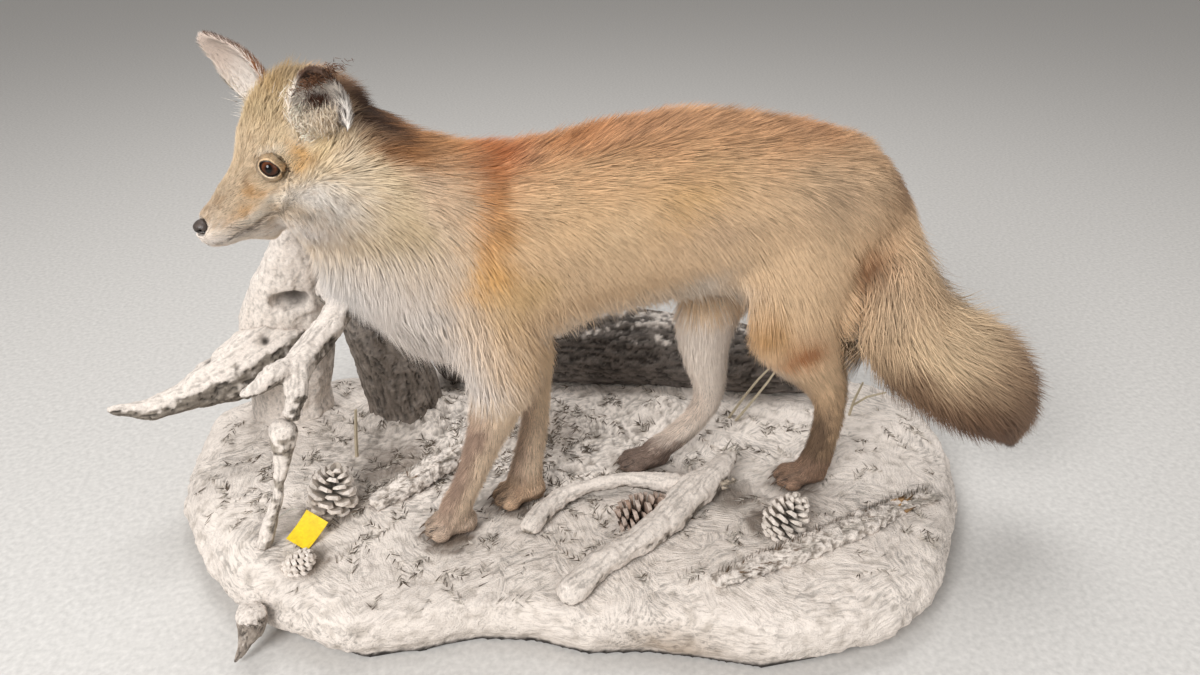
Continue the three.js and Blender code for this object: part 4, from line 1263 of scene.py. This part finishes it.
def build_claws():
    """Four blunt claws to a foot, curved down to the snow."""
    solids = []
    for heel, toes, width in PAWS.values():
        ahead = unit(np.array([toes[0] - heel[0], toes[1] - heel[1], 0.0]))
        across = np.array([-ahead[1], ahead[0], 0])
        for sideways, forward in [(-0.28, 0), (0.28, 0), (-0.74, -7), (0.74, -7)]:
            toe = np.array([toes[0], toes[1], 60.0]) + ahead * forward + across * sideways * width
            rows = []
            for t in np.linspace(0, 1, CLAW_RINGS):
                middle = toe + ahead * (7 + 8 * t) + np.array([0, 0, 8.0 - 1.0 * t - 5.0 * t * t])
                for turn in circle(CLAW_SIDES):
                    thick = 1.5 * (1 - 0.85 * t * t)
                    rows.append(middle + across * thick * 0.75 * math.cos(turn)
                                + np.array([0, 0, thick * math.sin(turn)]))
            solids.append(rows)
    last = CLAW_SIDES * (CLAW_RINGS - 1)
    faces = [(0, k + 1, k) for k in range(1, CLAW_SIDES - 1)]
    faces += [(last, last + k, last + k + 1) for k in range(1, CLAW_SIDES - 1)]
    faces += [face[::-1] for face in tube(CLAW_SIDES, CLAW_RINGS)]
    # Horn: dark brown with pale flecks, and polished.
    horn = crusted("claw_horn", 0.35, 1.5, 0.05, "#8a7a68", 0.5)
    colours = plain("#5a493b", len(solids), CLAW_SIDES * CLAW_RINGS)
    piece(mesh_of("claws", np.array(solids) * MM, faces, colours, horn), "nose")


def build_whiskers(hair):
    """A few stiff dark whiskers on the lip, and the longer hair of the brow and the near ear."""
    rng = np.random.default_rng(5)
    roots, ends = [], []
    for side in (-1, 1):
        for i in range(9):
            root = np.array([16 + 3.2 * (i % 4) + rng.uniform(-1, 1), side * (12.5 + 0.4 * (i % 4)),
                             -9 - 3.2 * (i // 4)])
            way = unit(np.array([0.75, side * rng.uniform(0.6, 0.9), rng.uniform(-0.35, 0.05)]))
            roots.append(root)
            ends.append(root + way * rng.uniform(22, 36))
    head_hair("whiskers", hair, np.array(roots), np.array(ends), 0.34, plain("#2a211c", len(roots)))
    # Over the far brow, up out of the near ear's cup, in its dark canal, on its rim and its fold.
    for name, at, spread, heading, count, long, colour in [
        ("coat_brow_wisps", (96, 40, 44), (5, 4, 8), (-0.75, 0.1, 0.45), 70, 15, "#e6dccf"),
        ("coat_ear_wisps", (121, -46, 38), (7, 4, 5), (0.1, -0.3, 0.95), 620, 13, "#e6d6c0"),
        ("coat_ear_canal", (124, -44, 54), (5, 3, 4), (0.1, -0.5, 0.8), 260, 9, "#4b2a17"),
        ("coat_ear_rim", (127, -58, 75), (9, 4, 2.2), (0.5, -0.4, -0.5), 620, 6, "#5c3c26"),
        ("coat_ear_fold", (105, -34, 44), (3, 3, 9), (0.6, -0.45, 0.5), 380, 15, "#f2e4d2"),
    ]:
        roots = np.array(at) + rng.normal(0, 1, (count, 3)) * spread
        way = unit(np.array(heading) + rng.normal(0, 0.34, (count, 3)))
        ends = roots + way * rng.uniform(0.5, 1.1, (count, 1)) * long
        head_hair(name, hair, roots, ends, 0.65, plain(colour, 1) * rng.uniform(0.9, 1.3, (count, 1)))


# ---- The stand's materials ----

def plaster_snow():
    """Plaster snow: chalky, cream in its thick places, combed with a stiff brush in short strokes
    that turn from patch to patch, so it reads as wind-blown crust: painted shade darkens its grooves, and
    dark grit specks it."""
    material = finish("plaster_snow", Roughness=0.92)
    tree = material.node_tree
    paint_layer = add(tree, "Attribute", attribute_name="markings")
    place = add(tree, "TexCoord").outputs["Object"]
    wander = add(tree, "TexNoise", {"Vector": place, "Scale": per_metre(60), "Detail": 3.0})
    bent = add(tree, "VectorMath", {0: wander.outputs["Color"], 1: (0.03, 0.03, 0.03), 2: place},
               operation="MULTIPLY_ADD")
    patch = add(tree, "TexVoronoi", {"Vector": bent, "Scale": per_metre(46)})
    turn = add(tree, "Math", {0: patch.outputs["Color"], 1: 9.0}, operation="MULTIPLY")
    turned = add(tree, "VectorRotate", {"Vector": bent, "Angle": turn}, rotation_type="Z_AXIS")
    drawn = add(tree, "VectorMath", {0: turned, 1: (0.12, 1.0, 1.0)}, operation="MULTIPLY")
    strokes = add(tree, "TexNoise", {
        "Vector": drawn, "Scale": per_metre(3.4), "Detail": 4.0, "Roughness": 0.65})
    # Painted shade: the grooves between the strokes are darkened, more in some patches than in others.
    deep = add(tree, "MapRange", {0: wander, 1: 0.42, 2: 0.6, 3: 0.86, 4: 0.5})
    grains = add(tree, "TexNoise", {"Vector": place, "Scale": per_metre(1.6), "Detail": 3.0})
    tone = add(tree, "MapRange", {0: strokes, 1: 0.34, 2: 0.54, 3: deep, 4: 1.04})
    shade = add(tree, "VectorMath", {0: paint_layer.outputs["Color"], "Scale": tone}, operation="SCALE")
    dirt = add(tree, "MapRange", {0: grains, 1: 0.68, 2: 0.76, 3: 0.0, 4: 0.6})
    colour = add(tree, "Mix", {0: dirt, 6: shade, 7: linear("#5a4d42")}, data_type="RGBA")
    heights = add(tree, "Math", {0: strokes, 1: 2.5, 2: grains}, operation="MULTIPLY_ADD")
    return covered(material, colour.outputs[2], heights, 0.9, 1.2)


# ---- The stand's shapes ----

SNOW, SNOW_SHADE, SPOT_BROWN = "#e9ded4", "#a1968a", "#57432f"

# Banks of snow against the right root and under the log: place, reach and height.
MOUNDS = [((-172, 196), (44, 34), 34), ((118, 116), (34, 22), 24), ((-300, 205), (40, 30), 12)]

# The line down the middle of each piece of wood.
WOOD = {
    "stump": [(-305, 228, 48), (-299, 212, 150), (-284, 182, 245), (-273, 152, 318), (-271, 146, 340)],
    "stump_arm_left": [(-294, 186, 184), (-342, 160, 167), (-377, 138, 160), (-462, 98, 167)],
    "stump_arm_front": [(-236, 150, 252), (-226, 118, 252), (-240, 88, 240), (-272, 32, 226),
                        (-278, 6, 194)],
    "stump_prop": [(-288, 0, 180), (-291, -2, 158), (-303, -15, 114), (-326, -26, 54)],
    "stump_root_right": [(-226, 190, 226), (-190, 194, 145), (-174, 206, 54)],
    "log_back": [(-106, 268, 98), (35, 242, 103), (318, 145, 90)],
    "root_foot": [(-330, -92, 44), (-348, -104, 6)],
    "fallen_branch": [(160, -4, 84), (106, -40, 74), (24, -104, 69), (-46, -148, 66)],
    "fallen_branch_side": [(106, -40, 74), (42, -7, 74), (-24, -13, 69), (-66, -48, 64)],
}

# Feet and cones press the snow, and it is darker and browner round them: place, reach and how dark.
DARK_SPOTS = [
    ((-146, -38), 34, 0.9), ((-76, 1), 34, 0.8), ((222, -33), 34, 0.8), ((66, 29), 34, 0.7),
    ((-252, 36), 38, 0.85), ((50, -56), 30, 0.9), ((176, -92), 36, 0.8), ((-280, -50), 26, 0.8),
    ((-310, 20), 26, 0.4), ((150, -40), 30, 0.7), ((-190, 90), 50, 0.6), ((-30, 120), 60, 0.5),
]


def lumps(points, size, octaves=3, seed=0.0):
    """Smooth noise, about -1 to 1, whose lumps are `size` millimetres across."""
    return np.array([noise.fractal(p, 0.8, 2.0, octaves) for p in (points / size + seed).tolist()])


def weathered(name, slot, material, bare, dark, snow, voxel=2.4, depth=1.8, cover=-0.35, pits=(), slim=0):
    """A log or a branch: furrowed along its grain, crusted with snow on top, and pitted. A pit of
    less than nothing is a swelling."""
    body, normals = solid_surface(name, voxel, 8, 0.35)
    line = np.array(WOOD[name], float)
    share, out, _ = along(body.points, line)
    length = np.linalg.norm(np.diff(line, axis=0), axis=1).sum()
    grained = out + unit(line[-1] - line[0]) * (share * length / 8)[:, None]
    ridges = lumps(grained, 8, 3, 7.3)
    cracks = rise(0.16, 0.0, np.abs(ridges))
    streaks = rise(-0.5, 0.6, lumps(grained, 2.6, 2, 3.1))
    bumps = lumps(body.points, 26, 3, 1.7)
    crust = snow * rise(cover, cover + 0.6, normals[:, 2] + 0.6 * lumps(body.points, 13, 3, 9.2))
    pit = np.zeros(len(bumps))
    for centre, reach, sunk in pits:
        pit += sunk * near(body.points, centre, reach)
    moved = 1.6 * bumps - depth * cracks * (1 - 0.7 * crust) + depth * 0.4 * ridges
    moved += crust * (0.7 + 0.8 * lumps(body.points, 6, 2, 4.4)) - pit
    moved -= slim * (0.4 + share) * np.linalg.norm(out, axis=1)

    colours = mixed(bare, 0.7 * streaks, dark)
    # The cracks are painted near black: the wood's own darkening there, with painted shade in them.
    colours = mixed(colours, 0.85 * cracks, "#2b2520")
    colours = mixed(colours, rise(0.1, 0.75, crust) * (0.9 - 0.35 * cracks), SNOW)
    # Each pit is painted dark, as painted shade in its hollow.
    colours = mixed(colours, rise(1.5, 6, pit), "#3a332d")
    wood = body.show(body.points + normals * moved[:, None], colours, name + "_wood", material)
    return piece(wood, slot, name)


def on_ground(tree, points):
    """The points dropped onto the snow."""
    placed = np.array(points, float)
    for i, point in enumerate(placed.tolist()):
        hit = tree.ray_cast(Vector((point[0], point[1], 140)), Vector((0, 0, -1)))[0]
        placed[i, 2] = hit[2] if hit else 0
    return placed


def needles(name, slot, material, starts, ends, width, colours, *nodes, unrolled=None):
    """Thin three-sided needles from their starts to their points, with an OFBake map on hair."""
    way = unit(ends - starts)
    side = unit(np.cross(way, [0, 0, 1.0]) + 1e-6)
    top = np.cross(side, way)
    half = width / 2
    points = np.stack([starts - side * half, starts + side * half, starts + top * 1.4 * half, ends], 1)
    faces = [(0, 1, 2), (0, 3, 1), (1, 3, 2), (2, 3, 0)]
    patch = None
    if unrolled:
        corners = np.array([(-0.5, -0.5), (0.5, -0.5), (0, -0.4), (0, 0.5)])
        patch = unrolled(starts)[:, None] + PATCH * corners
    thing = mesh_of(name, points * MM, faces, np.repeat(colours[:, None], 4, 1), material, patch)
    return piece(thing, slot, *nodes)


def spray(rng, middle, heading, length, count, reach):
    """The starts and the points of a flat spray of needles about a short line, lying on a level."""
    forward = np.array([math.cos(heading), math.sin(heading), 0])
    across = np.array([-forward[1], forward[0], 0])
    t = rng.random(count)
    side = rng.choice([-1, 1], count)
    angle = np.radians(rng.normal(42, 10, count)) * side
    starts = middle + forward * ((t - 0.5) * length)[:, None]
    starts = starts + across * (side * 0.6)[:, None]
    way = forward * np.cos(angle)[:, None] + across * np.sin(angle)[:, None]
    return starts, starts + way * (reach * rng.uniform(0.7, 1.1, count))[:, None]


def build_snow():
    """The plaster snow: drifts, a lumpy crust, brown hollows, and a thin dark band along its foot, painted
    as the shadow under its edge.
    """
    mesh = remeshed(["snow_base"], 3.2)
    work = bmesh.new()
    work.from_mesh(mesh)
    flat = [face for face in work.faces if face.normal.z < -0.9 and face.calc_center_median().z < 2 * MM]
    bmesh.ops.delete(work, geom=flat, context="FACES")
    rim = [edge for edge in work.edges if edge.is_boundary]
    bmesh.ops.contextual_create(work, geom=rim)
    work.to_mesh(mesh)
    work.free()
    body = Surface(mesh)
    body.points = body.settled(body.points, 6, 0.4 * rise(2, 10, body.points[:, 2]))
    normals = body.normals()
    z = body.points[:, 2]
    on_top = z > 40
    swells = lumps(body.points, 70, 3, 2.2)
    crust = lumps(body.points, 12, 4, 5.1)
    fine = lumps(body.points, 5, 2, 8.8)
    litter = rise(0.25, 0.75, near(body.points, (-60, 110, 60), (250, 130, 90)) + 0.2 * swells)
    moved = 2.6 * swells + (1.4 + 1.0 * litter) * crust + 0.7 * fine
    side = rise(0.8, 0.3, normals[:, 2])
    moved += side * (2.2 * lumps(body.points, 38, 3, 4.0) - 1.0)
    for (cx, cy), reach, tall in MOUNDS:
        moved += tall * near(body.points[:, :2], (cx, cy), reach) * on_top * (1 + 0.3 * crust)
    moved *= rise(0, 14, z)

    colours = mixed(SNOW, 0.55 * rise(0.0, -0.8, crust), SNOW_SHADE)
    colours = mixed(colours, 0.6 * litter * rise(0.2, -0.5, fine + 0.5 * crust), "#6f665d")
    # Round each foot and cone the snow is pressed down and painted darker and browner.
    for (cx, cy), reach, dark in DARK_SPOTS:
        spot = near(body.points[:, :2], (cx, cy), (reach, reach)) * on_top
        moved -= 1.5 * spot
        colours = mixed(colours, dark * rise(0.25, 0.9, spot + 0.3 * crust), SPOT_BROWN)
    edge_stain = near(body.points, (45, -190, 22), (45, 30, 20))
    colours = mixed(colours, 0.6 * edge_stain, "#8a6d4a")
    # Painted shadow: a thin dark band along the foot of the snow, under its edge.
    colours = mixed(colours, rise(9, 3, z + 2 * fine), "#2c2622")
    body.points = body.points + normals * moved[:, None]
    snow = plaster_snow()
    piece(body.show(body.points, colours, "snow", snow), "snow", "snow_base")
    return body.tree(), snow


def build_wood():
    """The driftwood, the log and the splinters."""
    # Driftwood: silver grey, split along its grain, and rubbed with plaster snow.
    drift = crusted("driftwood", 0.85, 1.1, 0.6)
    # The log's old bark: almost black, deeply cracked and flaking, with crusts of snow.
    bark = crusted("blackened_bark", 0.9, 1.4, 1.1, "#15110f", 0.6)
    grey, deep = "#968c80", "#4a4138"
    weathered("stump", "driftwood", drift, "#cfc6bc", "#958b80", 1.0, cover=-1.3, pits=[
        ((-280, 160, 239), (20, 26, 12), 6.0), ((-250, 168, 150), (9, 30, 30), 8.0),
        ((-322, 178, 180), (8, 12, 7), 5.0), ((-262, 160, 216), (7, 12, 5), 4.0)])
    weathered("stump_arm_left", "driftwood", drift, grey, deep, 1.0, depth=2.2, cover=0.0, pits=[
        ((-314, 153, 200), (6, 14, 5), 6.0), ((-375, 152, 184), (6, 12, 4), 5.0)])
    weathered("stump_arm_front", "driftwood", drift, grey, deep, 1.0, voxel=1.8, cover=-0.2)
    weathered("stump_prop", "driftwood", drift, "#aca194", "#6b6055", 0.9, voxel=1.5, depth=1.0, cover=-0.2)
    # The right root's greys are darker than the other driftwood's: its own darker wood, with painted shade
    # where it stands behind the fox's chest.
    weathered("stump_root_right", "driftwood", drift, "#7d7268", "#453d36", 0.25, depth=3.0)
    weathered("log_back", "bark", bark, "#756c65", "#3a3531", 0.9, voxel=3.2, cover=0.75, depth=3.2)
    weathered("root_foot", "driftwood", drift, "#a89c90", "#7a6e64", 0.8, voxel=1.5, cover=0.05, slim=0.45,
              pits=[((-326, -84, 16), (9, 9, 14), 4.0)])
    weathered("fallen_branch", "driftwood", drift, grey, deep, 1.0, voxel=1.8, depth=1.4, cover=-0.5, pits=[
        ((106, -40, 70), (26, 18, 12), -5.0), ((-40, -144, 64), (16, 16, 10), -2.5),
        ((20, -106, 66), (24, 20, 20), 2.0), ((78, -60, 66), (12, 10, 12), 3.0)])
    weathered("fallen_branch_side", "driftwood", drift, grey, deep, 1.0, voxel=1.6, depth=1.1, cover=-0.5)

    # Torn ends: a spike and splinters on the branch, and tan splinters in the snow on the right.
    rng = np.random.default_rng(31)
    for name, at, heading, long, colour in [
        ("branch_splinters", (157, -6, 84), (0.75, 0.35, 0.55), 22, "#cfc5b8"),
        ("branch_stubs", (140, -42, 78), (0.9, -0.3, 0.15), 13, "#b9ab99"),
        ("tan_splinters", (305, -104, 66), (0.9, 0.35, 0.08), 24, "#a98459"),
    ]:
        starts = np.array(at) + rng.normal(0, 1, (9, 3)) * [4.5, 4.5, 2.0]
        way = unit(np.array(heading) + rng.normal(0, 0.16, (9, 3)))
        ends = starts + way * rng.uniform(0.45, 1, (9, 1)) * long
        shades = plain(colour, 1) * rng.uniform(0.7, 1.1, (9, 1))
        needles(name, "driftwood", drift, starts, ends, 4.6, shades)


SPRIGS = {
    "fir_sprig_right": [(88, -163, 62), (136, -151, 65), (184, -139, 67), (246, -119, 66), (308, -99, 64),
                        (352, -88, 60)],
    "fir_sprig_left": [(-216, 24, 64), (-182, 46, 72), (-148, 72, 72), (-122, 98, 66)],
}


def build_sprigs(snow, fir):
    """Fir sprigs caked in snow: a lumpy crust with rows of needles standing out of it."""
    for seed, (name, line) in enumerate(SPRIGS.items()):
        rng = np.random.default_rng(40 + seed)
        body, normals = solid_surface(name, 2.0, 6, 0.4)
        cakes = lumps(body.points, 10, 3, 6.0 + seed)
        fine = lumps(body.points, 3.6, 2, 2.5)
        moved = 2.6 * cakes + 1.2 * fine - 0.6
        # The crust's hollows are painted darker, as painted shade.
        colours = mixed(SNOW, 0.8 * rise(0.15, -0.6, cakes + fine), "#85786b")
        crust = body.show(body.points + normals * moved[:, None], colours, name + "_crust", snow)
        piece(crust, "snow", name)

        line = np.array(line, float)
        steps = np.diff(line, axis=0)
        count = int(np.linalg.norm(steps, axis=1).sum() * 4.2)
        t = rng.random(count) * (len(line) - 1)
        leg = np.minimum(t.astype(int), len(line) - 2)
        forward = unit(steps[leg])
        across = unit(np.cross(forward, [0, 0, 1.0]))
        side = rng.choice([-1, 1], count)
        angle = np.radians(rng.normal(40, 9, count))
        rise_up = rng.normal(0.12, 0.22, count)
        way = unit(forward * np.cos(angle)[:, None] + across * (side * np.sin(angle))[:, None]
                   + np.array([0, 0, 1.0]) * rise_up[:, None])
        starts = line[leg] + steps[leg] * (t - leg)[:, None]
        starts = starts + across * (side * rng.uniform(0, 3, count))[:, None]
        starts[:, 2] += rng.uniform(-2, 3, count)
        brown = rise(60, 10, np.linalg.norm(starts - line[1], axis=1)) * (seed == 0)
        pick = rng.random(count) < 0.1 + 0.7 * brown
        colours = mixed("#d6ccc0", pick, "#7b6148") * rng.uniform(0.7, 1.1, (count, 1))
        needles(name + "_needles", "snow", fir, starts, starts + way * rng.uniform(13, 19, (count, 1)), 1.3,
                colours)


TRODDEN = (-60, 90), (230, 120)  # where most loose needles lie: the middle and the reach


def build_litter(ground, fir):
    """Loose needles trodden into the snow, in flat sprays, thickest behind the feet."""
    rng = np.random.default_rng(77)
    starts, ends = [], []
    while len(starts) < 380:
        along_base, over_base = rng.uniform(-430, 400), rng.uniform(-165, 250)
        middle = np.array([*turned(along_base, over_base, -BASE_TURN), 0])
        crowd = near(middle[:2], *TRODDEN)
        if rng.random() > 0.15 + 0.85 * crowd:
            continue
        a, b = spray(rng, middle, rng.uniform(0, 2 * math.pi), rng.uniform(14, 34), rng.integers(8, 20), 10)
        starts.append(a)
        ends.append(b)
    starts, ends = np.concatenate(starts), np.concatenate(ends)
    keep = inside_base(starts) & inside_base(ends)
    starts, ends = on_ground(ground, starts[keep]), on_ground(ground, ends[keep])
    flat = (starts[:, 2] > 50) & (ends[:, 2] > 48)
    starts, ends = starts[flat], ends[flat]
    count = len(starts)
    starts[:, 2] += rng.uniform(-0.4, 0.8, count)
    ends[:, 2] += rng.uniform(-0.3, 2.4, count)
    pick = rng.random(count) < 0.2 + 0.5 * near(starts[:, :2], *TRODDEN)
    colours = mixed("#d3c9bd", pick, "#6f6152") * rng.uniform(0.6, 1.1, (count, 1))
    needles("trodden_needles", "snow", fir, starts, ends, 1.3, colours)


def turned(x, y, angle):
    """Places on the ground, turned about the fox's own middle."""
    return x * math.cos(angle) - y * math.sin(angle), x * math.sin(angle) + y * math.cos(angle)


def inside_base(points):
    """Whether each place is over the top of the snow and clear of its edge."""
    u, v = turned(points[:, 0], points[:, 1], BASE_TURN)
    return ((np.abs(u + 18) / 420) ** 2.6 + (np.abs(v - 48) / 222) ** 2.6) < 1


# Each cone: its middle, radius, half length, lean, colour and how white it is dusted.
CONES = {
    "pine_cone_left": ((-257, 32, 80), 24, 26, 0.25, "#d2c6b8", 1.0),
    "pine_cone_right": ((183, -105, 76), 20, 22, 0.5, "#c2b7aa", 0.95),
    "pine_cone_middle": ((50, -56, 68), 19, 26, 1.35, "#8a6851", 0.5),
    "pine_cone_small": ((-287, -54, 66), 12, 13, 0.9, "#b3a595", 1.0),
}
CONE_SCALES = 58
SPIRAL_TURN = math.radians(137.508)  # from each scale to the next


def build_cone(name, at, radius, half, lean, brown, white, material):
    """A pine cone: scales in their spiral, thick at the tip, dark between as their darker wood and painted
    shade, dusted with snow.
    """
    rng = np.random.default_rng(int(radius * 10))
    count = CONE_SCALES
    t = (np.arange(count) + 0.5) / count
    turn = np.arange(count) * SPIRAL_TURN
    out = np.stack([np.cos(turn), np.sin(turn), np.zeros(count)], 1)
    side = np.stack([-np.sin(turn), np.cos(turn), np.zeros(count)], 1)
    wide = radius * np.sin(math.pi * (0.14 + 0.76 * t)) ** 0.7
    height = -half + 2 * half * t
    up = np.array([0, 0, 1.0])
    tilt = np.radians(-4 + 66 * t * t)
    way = out * np.cos(tilt)[:, None] + up * np.sin(tilt)[:, None]
    lift = np.cross(way, side)
    core = up * (height - 0.25 * wide)[:, None] + out * (0.2 * wide)[:, None]
    tip = core + way * (0.86 * wide * rng.uniform(0.9, 1.08, count))[:, None]
    broad = 0.30 * wide + 1.4

    def slab(middle, across, thick):
        """The corners of the scales' edge at one place along them."""
        reach, deep = side * across[:, None], lift * thick
        return [middle - reach - deep, middle + reach - deep,
                middle + reach * 0.8 + deep, middle - reach * 0.8 + deep]

    rows = slab(core, 0.4 * broad, 0.5) + slab(core + (tip - core) * 0.72, broad, 1.1)
    rows += slab(tip, 0.6 * broad, 2.1) + [tip + way * 1.4 - lift * 0.4]
    points = np.stack(rows, 1)
    faces = [(0, 1, 2), (0, 2, 3)] + tube(4, 3)
    faces += [(8 + k, 12, 8 + (k + 1) % 4) for k in range(4)]
    spin = Matrix.Rotation(lean, 3, "Y")
    points = points @ np.array(spin).T + np.array(at)
    colours = plain(brown, count, 13) * rng.uniform(0.75, 1.15, (count, 1, 1))
    # Each scale's root row is painted near black: its darker wood there, and painted shade between the
    # scales.
    colours[:, :4] *= 0.2
    dusted = white * np.clip(rng.normal(0.9, 0.2, count), 0, 1)
    for row in range(4, 13):
        colours[:, row] = mixed(colours[:, row], dusted * (0.55 if row < 8 else 0.95), SNOW)
    cone = mesh_of(name + "_scales", points * MM, faces, colours, material)
    cone.data.polygons.foreach_set("use_smooth", np.zeros(len(cone.data.polygons), bool))
    return piece(cone, "cones", name)


TAG_TALL, TAG_WIDE = 12, 10  # points up and across the tag


def build_tag():
    """A plain yellow lot tag of card, curled a little."""
    card = crusted("yellow_card", 0.6, 2.0, 0.05, "#c9a400", 0.15)
    across = unit(np.array([0.76, -0.6, -0.24]))
    face = unit(np.cross(across, [-0.4, -0.75, -0.5]))
    down = np.cross(face, across)
    rows = []
    for v in np.linspace(-1, 1, TAG_TALL):
        for u in np.linspace(-1, 1, TAG_WIDE):
            curl = 1.6 * v * v - 0.8 + 0.7 * u * v
            rows.append(np.array([-281, -16, 73]) + across * 13 * u + down * 16.5 * v - face * curl)
    top = np.array(rows)
    points = np.concatenate([top, top - face * 0.6])
    order = np.arange(len(top)).reshape(TAG_TALL, TAG_WIDE)
    faces = []
    for a in order[:-1, :-1].ravel().tolist():
        b, back = a + TAG_WIDE, a + len(top)
        faces += [(a, a + 1, b + 1, b), (back, back + TAG_WIDE, back + TAG_WIDE + 1, back + 1)]
    ring = [*order[0], *order[1:, -1], *order[-1, -2::-1], *order[-2:0:-1, 0]]
    faces += [(a, a + len(top), b + len(top), b) for a, b in zip(ring, ring[1:] + ring[:1])]
    tag = new_object("tag_card", points * MM, faces, card)
    paint(tag.data, plain("#eecb10", len(points)))
    return piece(tag, "tag", "tag")


def build_stand():
    ground, snow = build_snow()
    build_wood()
    # Fir needles: dry and brown, most of them coated white.
    fir = crusted("fir_needles", 0.8, 2.0, 0.1)
    build_sprigs(snow, fir)
    build_litter(ground, fir)
    # Pine cone scales: dry and woody, near black between as their darker wood and painted shade, with snow
    # on their tips.
    scales = crusted("pine_cone_scales", 0.75, 1.0, 0.3)
    for name, measures in CONES.items():
        build_cone(name, *measures, scales)
    build_tag()
    # Dry grass and a twig, straw pale; a cotton string.
    straw = plain_stuff("dry_grass", "#c2b49a", 0.7)
    cotton = plain_stuff("cotton_string", "#e8e5de", 0.9)
    for name in ("grass_stem_1", "grass_stem_2", "twig_right", "twig_left"):
        NODES[name].data.materials[0] = straw
    NODES["tag_string"].data.materials[0] = cotton


build_stage()
build_fox()
build_stand()
